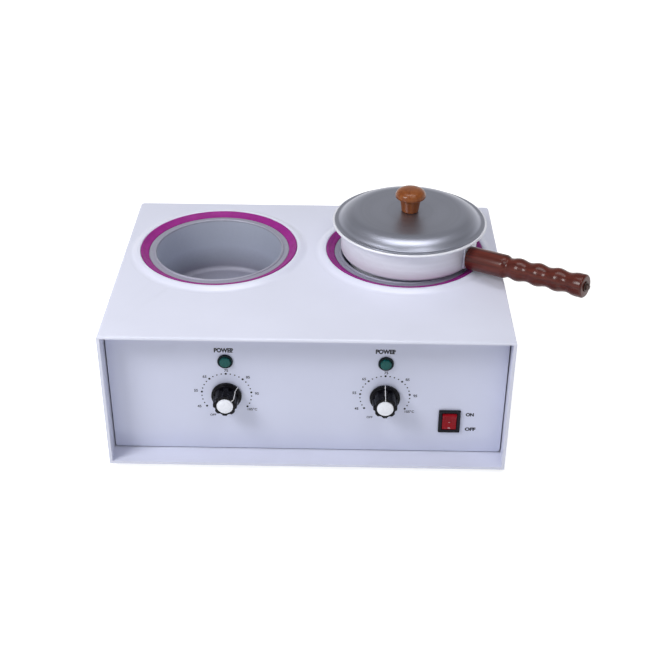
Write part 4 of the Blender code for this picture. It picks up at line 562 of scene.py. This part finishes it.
def sheet_metal(name, colour, low, high, crystal_scale):
    """Plated sheet: crystals of different tone and gloss, and fine rolling lines."""
    look = Finish(name, metallic=1.0)
    crystals = look.cells(crystal_scale)["Color"]
    look.colours(crystals, *around(colour, 0.10))
    look.roughness(look.noise(80, 4), low, high)
    return look.bumps((look.noise(900, 2, look.stretched(1, 0.04, 1)), 0.08, 0.03), (crystals, 0.02, 0.02))


def machined(name, colour):
    """Turned or stamped steel or copper with fine tool marks."""
    look = Finish(name, metallic=1.0)
    look.colours(look.noise(300, 4), *around(colour, 0.08))
    look.roughness(look.noise(700, 3), 0.22, 0.38)
    return look.bumps((look.noise(2500, 2, look.stretched(1, 1, 6)), 0.08, 0.02))


def silicone(name, colour):
    """Soft silicone rubber with a satin skin and a trace of dust."""
    look = Finish(name, Specular_IOR_Level=0.25, Subsurface_Weight=0.08, Subsurface_Scale=0.002)
    look.colours(look.noise(120, 5), *around(colour, 0.10))
    look.roughness(look.noise(300, 4), 0.42, 0.56)
    return look.bumps((look.noise(1400, 3), 0.10, 0.03), (look.noise(110, 2, look.turned()), 0.05, 0.2))


def braided(name, colour):
    """The woven sleeve of a heat-proof wire."""
    look = Finish(name, roughness=0.8)
    strands = look.wave(500, 0.4, "DIAGONAL")
    look.colours(strands, *around(colour, 0.25))
    look.roughness(look.noise(600, 2), 0.7, 0.85)
    return look.bumps((strands, 0.4, 0.12), (look.cells(1400)["Distance"], 0.2, 0.05))


def faceted_lens(name, colour, roughness):
    """Tinted plastic with a moulded pattern of small cells that scatters the lamp's light."""
    look = Finish(name, Specular_IOR_Level=0.2, Coat_Weight=0.12, Coat_Roughness=0.08)
    facets = look.cells(900)["Distance"]
    look.colours(facets, (0.05, tuple(c * 1.5 for c in colour)), (0.6, colour))
    look.roughness(look.noise(400), roughness * 0.8, roughness * 1.2)
    return look.bumps((facets, 0.5, 0.25))


def printed(name, colour):
    """Screen-printed ink with slightly uneven cover."""
    look = Finish(name)
    look.colours(look.noise(900, 4), *around(colour, 0.12))
    look.roughness(look.noise(500, 3), 0.45, 0.6)
    return look.bumps((look.noise(2500, 2), 0.05, 0.01))


WHITE_PAINT = powder_coat("white_powder_coat", (0.68, 0.70, 0.83))
# The panel wears the case's white paint made a little darker: painted shade for its recess behind the
# case's front edge.
SHADED_PANEL_PAINT = powder_coat("panel_powder_coat", (0.615, 0.645, 0.81))
# The first colour, at the well's floor, is painted shade; the others are the well's own metal.
WELL_METAL = satin_pot(
    "satin_well", WELL_FLOOR, WELL_TOP, (0.26, 0.26, 0.325), (0.50, 0.54, 0.65), (0.36, 0.365, 0.45)
)
PAN_METAL = spun_metal("satin_pan", (0.78, 0.79, 0.86), 0.52, 0.60, metallic=0.35)
LID_METAL = spun_metal("satin_lid", (0.36, 0.375, 0.45), 0.30, 0.38, metallic=0.95)
SEAL = silicone("magenta_silicone", (0.27, 0.014, 0.21))
DARK_WOOD = lacquered_wood("dark_red_lacquer", (0.045, 0.006, 0.004), (0.115, 0.018, 0.010))
ORANGE_WOOD = lacquered_wood("orange_lacquer", (0.150, 0.034, 0.006), (0.250, 0.074, 0.015))
BLACK_GLOSS = moulded("black_glossy_plastic", (0.002, 0.002, 0.004), 0.22, 0.34, Specular_IOR_Level=0.12)
BLACK_SATIN = moulded("black_satin_plastic", (0.003, 0.0035, 0.008), 0.28, 0.42, Specular_IOR_Level=0.15)
WHITE_PLASTIC = moulded("white_cap_plastic", (0.86, 0.88, 0.96), 0.22, 0.34)
DARK_STEEL = moulded("darkened_steel", (0.07, 0.045, 0.04), 0.35, 0.5, metallic=0.9)
RED_PLASTIC = moulded("red_rocker_plastic", (0.26, 0.004, 0.010), 0.20, 0.32, Specular_IOR_Level=0.12)
RUBBER = moulded("black_rubber", (0.012, 0.012, 0.013), 0.6, 0.8, 0.2)
LENS = faceted_lens("teal_lens", (0.002, 0.075, 0.070), 0.4)
LENS_RING = moulded("dark_teal_plastic", (0.0005, 0.010, 0.014), 0.2, 0.3, Specular_IOR_Level=0.15)
ZINC = sheet_metal("zinc_plated_sheet", (0.55, 0.57, 0.60), 0.30, 0.45, 140)
BAND_STEEL = sheet_metal("heater_band_steel", (0.45, 0.44, 0.43), 0.25, 0.40, 300)
STEEL = machined("machined_steel", (0.58, 0.58, 0.60))
COPPER = machined("copper", (0.75, 0.38, 0.24))
CERAMIC = moulded("pale_ceramic", (0.70, 0.66, 0.58), 0.5, 0.7, 0.15)
SLEEVE = braided("braided_sleeve", (0.55, 0.50, 0.42))
GREY_INK = printed("grey_ink", (0.014, 0.016, 0.032))
NAVY_INK = printed("navy_ink", (0.004, 0.005, 0.016))
WHITE_INK = printed("white_ink", (0.80, 0.80, 0.84))


# The case and its two wells


def make_case():
    """One folded sheet, open at the front, with a hem round its front edge."""
    width, depth, _ = size_of("case_shell")
    half_width, half_depth, height = width / 2, depth / 2, millimetres(TOP_Z - FLOOR_Z)
    hem, hem_depth, overrun, overlap = 3, 10, 5, 1
    back_radius, top_radius = 4, 2.5
    hole_radius, hole_depth = 97, 4
    shell = block("case_skin", at(-half_width, -half_depth, 0), at(half_width, half_depth, height))
    bm = bmesh.new()
    bm.from_mesh(shell.data)
    upright = [e for e in bm.edges if abs(e.verts[0].co.z - e.verts[1].co.z) > height * MM / 2]
    back = [e for e in upright if e.verts[0].co.y > CASE_Y]
    bmesh.ops.bevel(bm, geom=back, offset=back_radius * MM, segments=10, profile=0.5, affect="EDGES")
    top = max(bm.faces, key=lambda face: face.calc_center_median().z)
    bmesh.ops.bevel(bm, geom=top.edges[:], offset=top_radius * MM, segments=8, profile=0.5, affect="EDGES")
    bm.to_mesh(shell.data)
    bm.free()
    inside, opening = half_width - SHEET, half_width - hem
    hem_back = hem_depth - half_depth
    cavity_back, cavity_top = half_depth - SHEET, height - SHEET
    cavity = block("cavity", at(-inside, hem_back - overlap, hem), at(inside, cavity_back, cavity_top))
    mouth = block("mouth", at(-opening, -half_depth - overrun, hem), at(opening, hem_back, height - hem))
    holes = [
        prism(side + "_hole", circle(0, hole_radius, FINE), -hole_depth, hole_depth, over(well))
        for side, well in WELLS.items()
    ]
    carve(shell, cavity, mouth, *holes)
    soften(shell, 0.45, 3, 60)
    dress(shell, "case", WHITE_PAINT, "white_paint", "case_shell")


def make_collars():
    """The sheet drawn up round each hole, over a rounded crest and down to the seal's seat."""
    outer, crest, bore, seat_bore = 97, 85.8, 83.8, 70.5
    slope = flowing([
        (95.6, 0), (94.6, 0.08), (92.4, 0.62), (89.6, 2.1), (87.6, 2.95), (crest, COLLAR_HEIGHT),
    ])
    lip = flowing([
        (crest, COLLAR_HEIGHT), (crest - 0.9, 3.14), (bore + 0.4, 2.8), (bore + 0.05, 2.2), (bore, 1.4),
    ])
    underside = SEAL_SEAT - SHEET
    profile = [(outer, 0)] + slope + lip[1:]
    profile += [(bore, SEAL_SEAT), (seat_bore, SEAL_SEAT), (seat_bore, underside), (outer, underside)]
    for side, well in WELLS.items():
        collar = lathe(side + "_collar", profile, over(well), closed=True)
        dress(collar, "case", WHITE_PAINT, "white_paint")


def make_wells():
    """The seal ring in each collar, and the pot that hangs in the ring by its rolled rim."""
    seal_outer, seal_bore = radius_of("left_seal_ring"), 75.1
    seal_foot, seal_top = heights_of("left_seal_ring")
    ring = rounded([
        (seal_outer, seal_foot), (seal_outer, seal_top, 0.5), (82.3, seal_top, 0.9),
        (78.9, 0.75, 6), (seal_bore, -0.6, 0.5), (seal_bore, seal_foot),
    ])
    bore, flange, rim = 67, radius_of("left_heating_well"), -0.8
    outside, underside = bore + SHEET, WELL_FLOOR - SHEET
    stud, stud_end = 3, heights_of("left_heating_well")[0]
    pot = rounded([(0, WELL_FLOOR), (bore, WELL_FLOOR, 6), (bore, rim), (bore + 0.05, rim + 0.3)])
    pot += arc(bore + 1.4, rim, 1.4, 1.3, 168, 0, 12)
    pot += [Vector((flange, rim)), Vector((flange, seal_foot)), Vector((outside, seal_foot))]
    pot += rounded([
        (outside, seal_foot - 0.1), (outside, underside, 7.5), (stud, underside),
        (stud, stud_end, 0.4), (0, stud_end),
    ])[1:]
    for side, well in WELLS.items():
        seal = lathe(side + "_seal", ring, over(well), closed=True)
        dress(seal, "case", SEAL, "magenta_silicone", side + "_seal_ring")
        well_pot = lathe(side + "_well", pot, over(well))
        dress(well_pot, "case", WELL_METAL, "aluminium", side + "_heating_well")


# The pan, its lid and its handle


def make_pan():
    """The narrow lower body hangs in the well, and the wide upper one ends in a flare with a rolled rim."""
    low_radius, high_radius = 62, 72
    bottom, step = heights_of("pan_body")[0], 2.8
    low_bore, high_bore = low_radius - SHEET, high_radius - SHEET
    inside = rounded([
        (0, bottom + SHEET), (low_bore, bottom + SHEET, 4.5), (low_bore, step + SHEET, 0.8),
        (high_bore, step + SHEET, 2), (high_bore, 31.8, 3), (72.4, 34.4, 5), (78.4, 37.2),
    ])
    rim = arc(79.8, 36.4, 1.5, 1.5, 140, -90, 16)
    outside = rounded([
        (79.0, 34.9), (76.8, 34.4, 1.5), (73.2, 32.6, 3), (high_radius, 30, 3), (high_radius, step, 3.5),
        (low_radius, step, 0.6), (low_radius, bottom, 6), (0, bottom),
    ])
    pan = lathe("pan", inside + rim + outside, Matrix.Translation(PAN_AXIS))
    dress(pan, "pan", PAN_METAL, "aluminium", "pan_body")


def make_lid():
    """A flat top with a round shoulder, a brim on the pan's rim and a spigot inside it."""
    seat, wall, brim, brim_radius = 37.9, 1.2, 0.8, radius_of("lid_shell")
    spigot, spigot_end = 69.9, 33.4
    flat, shoulder = 54, 28          # where the flat top ends, and the radius of its shoulder
    cover = [Vector((0, LID_TOP))] + arc(flat, LID_TOP - shoulder, shoulder, shoulder, 90, 44, 28)
    cover += rounded([
        tuple(cover.pop()), (75.2, seat + brim, 2.5), (brim_radius, seat + brim, 0.35),
        (brim_radius, seat, 0.35), (spigot, seat), (spigot, spigot_end, 0.3),
        (spigot - wall, spigot_end, 0.3), (spigot - wall, 42.5),
    ])[:-1]
    cover += arc(flat, LID_TOP - shoulder, shoulder - wall, shoulder - wall, 56.7, 90, 18)
    cover += [Vector((0, LID_TOP - wall))]
    lid = lathe("lid", cover, Matrix.Translation(PAN_AXIS))
    dress(lid, "lid", LID_METAL, "aluminium", "lid_shell")


def make_lid_knob():
    """A turned mushroom: a stem that widens upwards, and a cap that overhangs it."""
    gap, foot, height = 0.3, 8.6, size_of("lid_knob")[2]
    neck = (11.8, 15.2)
    stem = flowing([(9.0, 0.6), (9.3, 3), (9.9, 7), (10.6, 11), (11.2, 14.2), neck])
    cap = flowing([
        neck, (13.6, 15.0), (15.3, 15.7), (15.9, 17.3), (15.5, 19.4),
        (13.9, 22.0), (10.7, 23.9), (5.9, 24.8), (0, height),
    ])
    profile = [Vector((0, 0)), Vector((foot, 0))] + stem + cap[1:]
    place = Matrix.Translation(PAN_AXIS + Vector((0, 0, (LID_TOP + gap) * MM)))
    knob = lathe("lid_handle", profile, place, MEDIUM, sharp=60)
    dress(knob, "lid", ORANGE_WOOD, "orange_wood", "lid_knob")


def handle_place():
    """The handle's root beside the pan's wall, with local Z out along the handle."""
    turn, lift = math.radians(-36), math.radians(5)
    root_radius, root_height = 76.2, 17
    out = Vector((math.cos(turn), math.sin(turn), 0))
    root = PAN_AXIS + (out * root_radius + Vector((0, 0, root_height))) * MM
    axis = out * math.cos(lift) + Vector((0, 0, math.sin(lift)))
    return Matrix.Translation(root) @ axis.to_track_quat("Z", "Y").to_matrix().to_4x4()


def make_handle():
    """A plain root, a grip turned in waves, and the nut of the bolt that runs through both."""
    place = handle_place()
    bore, radius, length = 3.2, 12.1, 130.5
    first_trough, pitch, crests, per_wave = 46.35, 21.7, 4, 16
    mean, swing, end_radius = 10.9, 0.95, 2.2
    profile = rounded([(bore, 0), (radius, 0, 1.0), (radius, 40.0)])
    profile += flowing([(radius, 40.3), (11.9, 42.0), (11.0, 44.2), (10.2, 45.6)], 4)[1:]
    for i in range(int((crests - 0.5) * per_wave) + 1):
        along = i / per_wave
        wave = math.cos((along - 0.5) * 2 * math.pi)
        profile.append(Vector((mean + swing * wave, first_trough + along * pitch)))
    profile += arc(mean + swing - end_radius, length - end_radius, end_radius, end_radius, 0, 90, 8)
    profile.append(Vector((bore, length)))
    handle = lathe("handle", profile, place, MEDIUM, closed=True, sharp=60)
    dress(handle, "pan", DARK_WOOD, "dark_red_wood", "pan_handle")
    washer, nut_radius = 5.2, 3.4
    seat = length + 0.3
    face = seat + 0.8
    nut = rounded([
        (0, seat + 3.8), (2.2, seat + 3.6, 0.7), (nut_radius, seat + 2.1, 0.6), (nut_radius, face),
        (washer, face, 0.3), (washer, seat, 0.2), (0, seat),
    ])
    dress(lathe("handle_nut", nut, place, COARSE), "pan", DARK_STEEL, "steel", "handle_end_nut")


# Dials, lamps and the switch on the front panel

# A knob is fluted between two heights, outside a radius.
GRIP_LOW, GRIP_HIGH, GRIP_INNER = 5.9, 20.6, 10.5
FLUTES, FLUTE_DEPTH, FLUTE_RADIUS = 8, 1.4, 3.4


def fluted(radius, height, turn):
    """The knob's radius: scallops between lobes, with one lobe under the pointer."""
    if not GRIP_LOW < height < GRIP_HIGH or radius < GRIP_INNER:
        return radius
    step = 2 * math.pi / FLUTES
    off = (turn - math.pi / 2) % step - step / 2
    far = radius - FLUTE_DEPTH + FLUTE_RADIUS
    inside = FLUTE_RADIUS**2 - (far * math.sin(off)) ** 2
    if inside <= 0:
        return radius
    return min(radius, far * math.cos(off) - math.sqrt(inside))


def make_dials():
    """Fluted knobs on a skirt, each with a white cap in its face and a painted pointer line."""
    skirt, collar, grip_wide, grip_narrow = 15.2, 13.8, 12.6, 11.9
    back, grip_foot, grip_head, crown = 1.8, 6.1, 19.7, front_of("left_dial_knob")
    recess, recess_floor, cap_radius, cap_foot = 8.4, 19.3, radius_of("left_knob_cap"), 19.6
    grip_steps = 8
    base = rounded([
        (0, back), (skirt, back), (skirt, 4.2, 0.5), (collar, 4.35, 0.3), (collar, 5.8, 0.5), (12.65, 5.95),
    ])
    shares = [k / grip_steps for k in range(grip_steps + 1)]
    grip = [
        (grip_wide + (grip_narrow - grip_wide) * share, grip_foot + (grip_head - grip_foot) * share)
        for share in shares
    ]
    face = [
        (grip_narrow, grip_head + 0.2), (11.7, crown - 0.15), (11.2, crown), (recess + 0.1, crown),
        (recess, crown - 0.2), (recess, recess_floor), (0, recess_floor),
    ]
    cap = rounded([
        (0, cap_foot), (cap_radius, cap_foot), (cap_radius, 21.4, 0.45), (7.2, 21.45), (7.0, 21.25),
        (6.7, 21.45), (4, 21.8), (0, front_of("left_knob_cap")),
    ])
    line = [
        (skirt + 0.05, 2.1), (skirt + 0.05, 4.25), (collar + 0.05, 4.42), (collar + 0.05, 5.95),
        (grip_wide + 0.1, 6.05), (grip_narrow + 0.1, 19.9), (11.25, crown + 0.06), (8.6, crown + 0.06),
    ]
    profile = base + [Vector(p) for p in grip + face]
    for side, dial in DIALS.items():
        place = on_panel(dial) @ Matrix.Rotation(-DIAL_TURNS[side], 4, "Z")
        knob = lathe(side + "_dial", profile, place, 2 * FINE, reach=fluted, sharp=50)
        dress(knob, side + "_dial", BLACK_GLOSS, "black_plastic", side + "_dial_knob")
        disc = lathe(side + "_dial_cap", cap, place, MEDIUM)
        dress(disc, side + "_dial", WHITE_PLASTIC, "white_cap", side + "_knob_cap")
        pointer = ribbon(side + "_pointer", line, 0.75, 0.12, place)
        dress(pointer, side + "_dial", WHITE_INK, "white_cap")


def make_lamps():
    """A lens in a dark ring on the panel, and the lamp's barrel behind it."""
    bore, flange, proud = 5.6, radius_of("left_lamp_body"), front_of("left_lamp_body")
    core, barrel_end = 0.6, -23.9
    lens_radius, lens_back, lens_front = radius_of("left_lamp_lens"), 1.2, front_of("left_lamp_lens")
    ring = rounded([(bore, 0.3), (flange, 0.3), (flange, proud, 0.6), (6.1, proud, 0.4), (bore, 1.4, 0.2)])
    barrel = [(bore, 0.2), (bore, barrel_end), (core, barrel_end), (core, 0.2)]
    lens = rounded([
        (0, lens_back), (lens_radius, lens_back), (lens_radius, 3.3, 0.8), (4.6, 3.9, 0.8), (0, lens_front),
    ])
    for side, lamp in LAMPS.items():
        place = on_panel(lamp)
        front = lathe(side + "_lamp_ring", ring, place, MEDIUM, closed=True)
        dress(front, "case", LENS_RING, "black_plastic", side + "_lamp_body")
        back = lathe(side + "_lamp_barrel", barrel, place, COARSE, closed=True)
        dress(back, "case", BLACK_SATIN, "black_plastic")
        glass = lathe(side + "_lamp_glass", lens, place, MEDIUM)
        dress(glass, "case", LENS, "green_lens", side + "_lamp_lens")


def make_switch_housing():
    """The bezel on the panel, and the body behind it with a pocket for the rocker."""
    width, _, height = size_of("switch_housing")
    front, proud = on_panel(SWITCH), front_of("switch_housing")
    step, back, seam, pocket, overrun = 2.8, -21.5, 0.3, -6.2, 1.7
    opening = rounded_rectangle(14.9, 20.1, 0.8, 4)
    bezel = prism("switch_bezel", rounded_rectangle(width, height, 1.2, 5), seam, proud, front)
    carve(bezel, prism("opening", opening, seam - overrun, proud + overrun, front))
    soften(bezel, 0.55)
    dress(bezel, "case", BLACK_SATIN, "black_plastic", "switch_housing")
    body = prism("switch_body", rounded_rectangle(width - step, height - step, 0.8, 4), back, seam, front)
    carve(body, prism("hollow", opening, pocket, seam + overrun, front))
    dress(body, "case", BLACK_SATIN, "black_plastic")


def make_rocker():
    """The rocker, with its lower end pressed in, and its two marks."""
    half_width, half_face, radius, end_angle, back_angle = 7.1, 9.02, 9.6, 71, 114
    middle_out, rise, fullness = 2.2, 1.08, 1.7
    tilt, set_back, steps = -7, 0.3, 10
    proud, shift = 0.05, 0.04        # how far the marks stand out, and how far they are to the left

    def face_at(height):
        """How far the face stands out at a height. It is a little hollow."""
        return middle_out + rise * (abs(height) / half_face) ** fullness

    # Its outline has X to the front and Y up.
    heights = [half_face * k / steps for k in range(steps - 1, -steps, -1)]
    outline = arc(0, 0, radius, radius, back_angle, end_angle, 8)
    outline += [Vector((face_at(height), height)) for height in heights]
    outline += arc(0, 0, radius, radius, -end_angle, -back_angle, 8)
    stand = Matrix(((0, 0, 1, 0), (-1, 0, 0, 0), (0, 1, 0, 0), (0, 0, 0, 1)))
    pivot = Matrix.Translation((SWITCH.x, PANEL_Y - set_back * MM, SWITCH.z))
    place = pivot @ stand @ Matrix.Rotation(math.radians(tilt), 4, "Z")
    rocker = prism("rocker_cap", outline, -half_width, half_width, place)
    soften(rocker, 0.5)
    dress(rocker, "rocker", RED_PLASTIC, "red_rocker", "switch_rocker")
    for name, character, height, size, turn in (("dash", "I", -0.2, 1.7, 90), ("ring", "O", -7.6, 2.0, 0)):
        bm = bmesh.new()
        stamp(bm, character, 0, 0, size, turn=turn)
        spot = Matrix.Translation(Vector((face_at(height) + proud, height, -shift)) * MM)
        mark = add("rocker_" + name, mesh_of(name, bm), place @ spot @ stand.inverted())
        dress(mark, "rocker", WHITE_INK, "white_cap")


# Lettering


def print_on_panel(name, bm, x, z, ink):
    """Lays the print on the panel. Its own X and Z are measured from the place given."""
    clear = 2 * INK * MM
    piece = add(name, mesh_of(name, bm), Matrix.Translation((x, PANEL_Y - clear, z)))
    dress(piece, "case", ink, "black_plastic")


def make_scales():
    """Round each dial, numbers and a ring of dots, of which every fourth is larger."""
    # Each row has the words, their angle from straight up and their distance from the dial's axis.
    numbers = (
        ("45", -118, 31.8), ("55", -82, 30.9), ("65", -45, 30.0), ("75", 1, 28.7), ("85", 46, 30.4),
        ("95", 87, 30.3), ("105°C", 125, 30.9), ("OFF", -150, 29.3),
    )
    number_height, off_height = 3.1, 2.6
    ring_radius, sweep, gaps, per_number = 24.9, 250, 24, 4
    small_dot, large_dot = 0.74, 1.15
    for side, dial in DIALS.items():
        bm = bmesh.new()
        for words, angle, far in numbers:
            turn = math.radians(angle)
            height = off_height if words == "OFF" else number_height
            stamp(bm, words, far * math.sin(turn), far * math.cos(turn), height, bold=0.022)
        print_on_panel(side + "_numbers", bm, dial.x, dial.z, GREY_INK)
        bm = bmesh.new()
        for i in range(gaps + 1):
            turn = math.radians(sweep * i / gaps - sweep / 2)
            radius = small_dot if i % per_number else large_dot
            dot(bm, ring_radius * math.sin(turn), ring_radius * math.cos(turn), radius)
        print_on_panel(side + "_dots", bm, dial.x, dial.z, NAVY_INK)


def make_words():
    # Each row has a name, the text, its place across and above the case's underside, its height and width.
    words = (
        ("left_power", "POWER", -81.3, 123.3, 5.3, 20.0),
        ("right_power", "POWER", 77.4, 124.3, 5.3, 20.6),
        ("on", "ON", 163.8, 50.25, 4.3, 8.2),
        ("off", "OFF", 165.25, 32.2, 4.3, 10.8),
    )
    for name, text, x, z, height, width in words:
        bm = bmesh.new()
        stamp(bm, text, 0, 0, height, width, bold=0.06)
        spot = at(x, 0, z)
        print_on_panel(name + "_word", bm, spot.x, spot.z, NAVY_INK)


# The back, the underside and small fasteners


def make_inlet():
    """The mains inlet: a flange with two screw holes, its socket and three pins."""
    width, _, height = size_of("mains_inlet")
    gap, flange_depth, body_back, socket_floor, past = 0.3, 3, -16, -13.5, 5
    half_width, half_height, chamfer, corner = 11.75, 8.15, 4.5, 0.8
    screw_hole, screw_reach, hole_floor = 1.9, 20, -2
    pin_width, pin_height, pin_back, pin_front = 2, 4, -20, -2
    centre = middle("mains_inlet")
    back = Matrix.Translation((centre.x, CASE_HIGH.y + gap * MM, centre.z)) @ FACING_BACK
    flange = prism("inlet_flange", rounded_rectangle(width, height, 4), 0, flange_depth, back)
    soften(flange, 0.6)
    body = prism("inlet_body", rounded_rectangle(27, 19.8, 1.5, 4), body_back, flange_depth - 0.5, back)
    combine(flange, "UNION", body)
    foot = (0, -half_height)
    right = [
        (half_width, -half_height, corner), (half_width, half_height - chamfer, corner),
        (half_width - chamfer, half_height, corner),
    ]
    left = [(-x, y, radius) for x, y, radius in reversed(right)]
    socket = rounded([foot, *right, *left, foot], 4)[:-1]
    carve(flange, prism("socket", socket, socket_floor, past, back))
    outlines = [circle(x, screw_hole, 24) for x in (-screw_reach, screw_reach)]
    carve(flange, *[prism("screw_hole", outline, hole_floor, past, back) for outline in outlines])
    shade(flange.data)
    dress(flange, "case", BLACK_SATIN, "black_plastic", "mains_inlet")
    for name, x, y in (("left", -7, -2), ("earth", 0, 2), ("right", 7, -2)):
        spot = back @ Matrix.Translation((x * MM, y * MM, 0))
        outline = rounded_rectangle(pin_width, pin_height, 0.3, 3)
        pin = prism("inlet_pin_" + name, outline, pin_back, pin_front, spot)
        soften(pin, 0.35, 2)
        dress(pin, "case", STEEL, "steel")


def screw(name, spot, facing, height, body_length, node):
    """A pan-head screw with a cross recess, its head out along the facing's Z."""
    radius = radius_of(node)
    place = Matrix.Translation(spot) @ facing
    shank, arm, half_slot, slot_turn, recess = radius * 0.5, radius * 0.62, 0.28, 0.4, height * 0.4
    head = rounded([
        (0, height), (radius * 0.55, height * 0.93, 0.8), (radius, height * 0.45, 0.7), (radius, 0),
        (shank, 0), (shank, -body_length), (0, -body_length),
    ])
    piece = lathe(name, head, place, COARSE)
    bar = [(-arm, -half_slot), (arm, -half_slot), (arm, half_slot), (-arm, half_slot)]
    slots = []
    for turn in (slot_turn, slot_turn + math.pi / 2):
        slots.append(prism("slot", bar, recess, height + 1, place @ Matrix.Rotation(turn, 4, "Z")))
    carve(piece, *slots)
    shade(piece.data)
    dress(piece, "case", STEEL, "steel", node)


def make_fasteners():
    down = Matrix.Rotation(math.pi, 4, "X")
    base_head, base_length, inlet_head, inlet_length = 2.1, 11.0, 1.6, 9.8
    sole, pad, pad_height = 7.8, radius_of("front_left_foot"), 5
    profile = rounded([(0, 0), (sole, 0, 0.8), (pad, pad_height, 0.3), (0, pad_height)])
    for place in ("front_left", "front_right", "back_left", "back_right"):
        foot = middle(place + "_foot")
        piece = lathe(place + "_pad", profile, Matrix.Translation((foot.x, foot.y, 0)), 64)
        dress(piece, "case", RUBBER, "black_rubber", place + "_foot")
        name = place + "_base_screw"
        spot = middle(name)
        spot.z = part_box(name)[0].z + base_head * MM
        screw(place + "_screw_head", spot, down, base_head, base_length, name)
    for side in SIDES:
        name = side + "_inlet_screw"
        spot = middle(name)
        spot.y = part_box(name)[1].y - inlet_head * MM
        screw(name + "_head", spot, FACING_BACK, inlet_head, inlet_length, name)


def dress_solids():
    """The solids that keep their own shape get a detailed finish."""
    finishes = {
        "front_panel": SHADED_PANEL_PAINT, "base_plate": ZINC, "handle_bracket": PAN_METAL, "handle_bolt": STEEL,
        "lid_screw": STEEL, "upper_rivet": STEEL, "lower_rivet": STEEL, "terminal_block": CERAMIC,
        "mains_wire": SLEEVE,
    }
    twins = {
        "well_bridge": ZINC, "well_nut": STEEL, "heater_band": BAND_STEEL, "clamp_screw": STEEL,
        "heater_wire": SLEEVE, "thermostat": CERAMIC, "thermostat_nut": STEEL, "dial_shaft": STEEL,
        "lamp_nut": STEEL, "sensor": COPPER,
    }
    for side in SIDES:
        finishes.update({side + "_" + node: finish for node, finish in twins.items()})
    for node, finish in finishes.items():
        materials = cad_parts[node].data.materials
        materials.clear()
        materials.append(finish)


# Floor, light and camera


def make_stage():
    """A white floor that glows where it is seen or mirrored, more so further out, and lights nothing."""
    half_side, drop = 6, 0.2 * MM
    near, far, near_glow, far_glow = 0.45, 1.6, 0.62, 1.0
    bm = bmesh.new()
    bmesh.ops.create_grid(bm, x_segments=2, y_segments=2, size=half_side)
    floor = add("floor", mesh_of("floor", bm), Matrix.Translation((0, 0, -drop)))
    look = Finish("white_floor", roughness=0.9, Base_Color=(0.80, 0.80, 0.80, 1), Specular_IOR_Level=0.0)
    rays = look.node("LightPath").outputs
    seen = look.maths("MAXIMUM", rays["Is Camera Ray"], rays["Is Glossy Ray"])
    seen = look.maths("MAXIMUM", seen, rays["Is Transmission Ray"])
    fade = look.mapped(look.length(look.coordinates), near, far, near_glow, far_glow)
    glow = look.node("Emission")
    look.link(look.maths("MULTIPLY", seen, fade), glow.inputs["Strength"])
    both = look.node("AddShader")
    look.link(look.shader.outputs["BSDF"], both.inputs[0])
    look.link(glow.outputs["Emission"], both.inputs[1])
    look.link(both.outputs["Shader"], look.tree.nodes["Material Output"].inputs["Surface"])
    floor.data.materials.append(look.material)


def make_world():
    """White to the camera. As light: white near the horizon, grey overhead, weaker on dull faces."""
    world = bpy.data.worlds.new("studio")
    bpy.context.scene.world = world
    world.use_nodes = True
    low, high, high_light, on_dull_faces = 0.10, 0.50, 0.32, 0.66
    sky = Shading(world.node_tree)
    rays = sky.node("LightPath").outputs
    parts = sky.node("SeparateXYZ")
    sky.link(sky.node("TexCoord").outputs["Generated"], parts.inputs["Vector"])
    light = sky.mapped(parts.outputs["Z"], low, high, 1.0, high_light)
    lit = sky.chosen(rays["Is Diffuse Ray"], light, sky.maths("MULTIPLY", light, on_dull_faces))
    background = sky.tree.nodes["Background"]
    background.inputs["Color"].default_value = (1, 1, 1, 1)
    sky.link(sky.chosen(rays["Is Camera Ray"], lit, 1.0), background.inputs["Strength"])


def softbox(name, place, target, width, height, watts):
    light = bpy.data.lights.new(name, "AREA")
    light.shape = "RECTANGLE"
    light.size = width
    light.size_y = height
    light.energy = watts
    lamp = bpy.data.objects.new(name, light)
    bpy.context.scene.collection.objects.link(lamp)
    aim = (Vector(target) - Vector(place)).to_track_quat("-Z", "Y")
    lamp.matrix_world = Matrix.Translation(place) @ aim.to_matrix().to_4x4()


def make_lights():
    """Three softboxes: the main one from the left, a weaker one from the right and one overhead."""
    softbox("left_softbox", (-0.85, -0.70, 1.10), (-0.02, -0.05, 0.1), 0.50, 0.50, 11.5)
    softbox("right_softbox", (0.45, -0.85, 1.45), (0.02, -0.05, 0.1), 0.60, 0.70, 4.2)
    softbox("overhead", (0.05, 0.10, 1.60), (0.05, -0.05, 0.1), 1.0, 0.50, 6.6)


def make_camera():
    """The camera as it was solved from the case's corners in the photo."""
    place = (-0.00367, -1.10239, 0.76911)
    right = Vector((0.999783, 0.020327, 0.004626))
    up = Vector((-0.014650, 0.527167, 0.849636))
    data = bpy.data.cameras.new("camera")
    data.lens = 66.28
    data.sensor_width = 36.0
    data.clip_end = 50.0
    camera = bpy.data.objects.new("camera", data)
    bpy.context.scene.collection.objects.link(camera)
    turn = Matrix((right, up, right.cross(up))).transposed()
    camera.matrix_world = Matrix.Translation(place) @ turn.to_4x4()
    bpy.context.scene.camera = camera


make_camera()
make_case()
make_collars()
make_wells()
make_pan()
make_lid()
make_lid_knob()
make_handle()
make_dials()
make_lamps()
make_switch_housing()
make_rocker()
make_scales()
make_words()
make_inlet()
make_fasteners()
dress_solids()
make_stage()
make_world()
make_lights()
bpy.context.scene.view_settings.view_transform = "Standard"
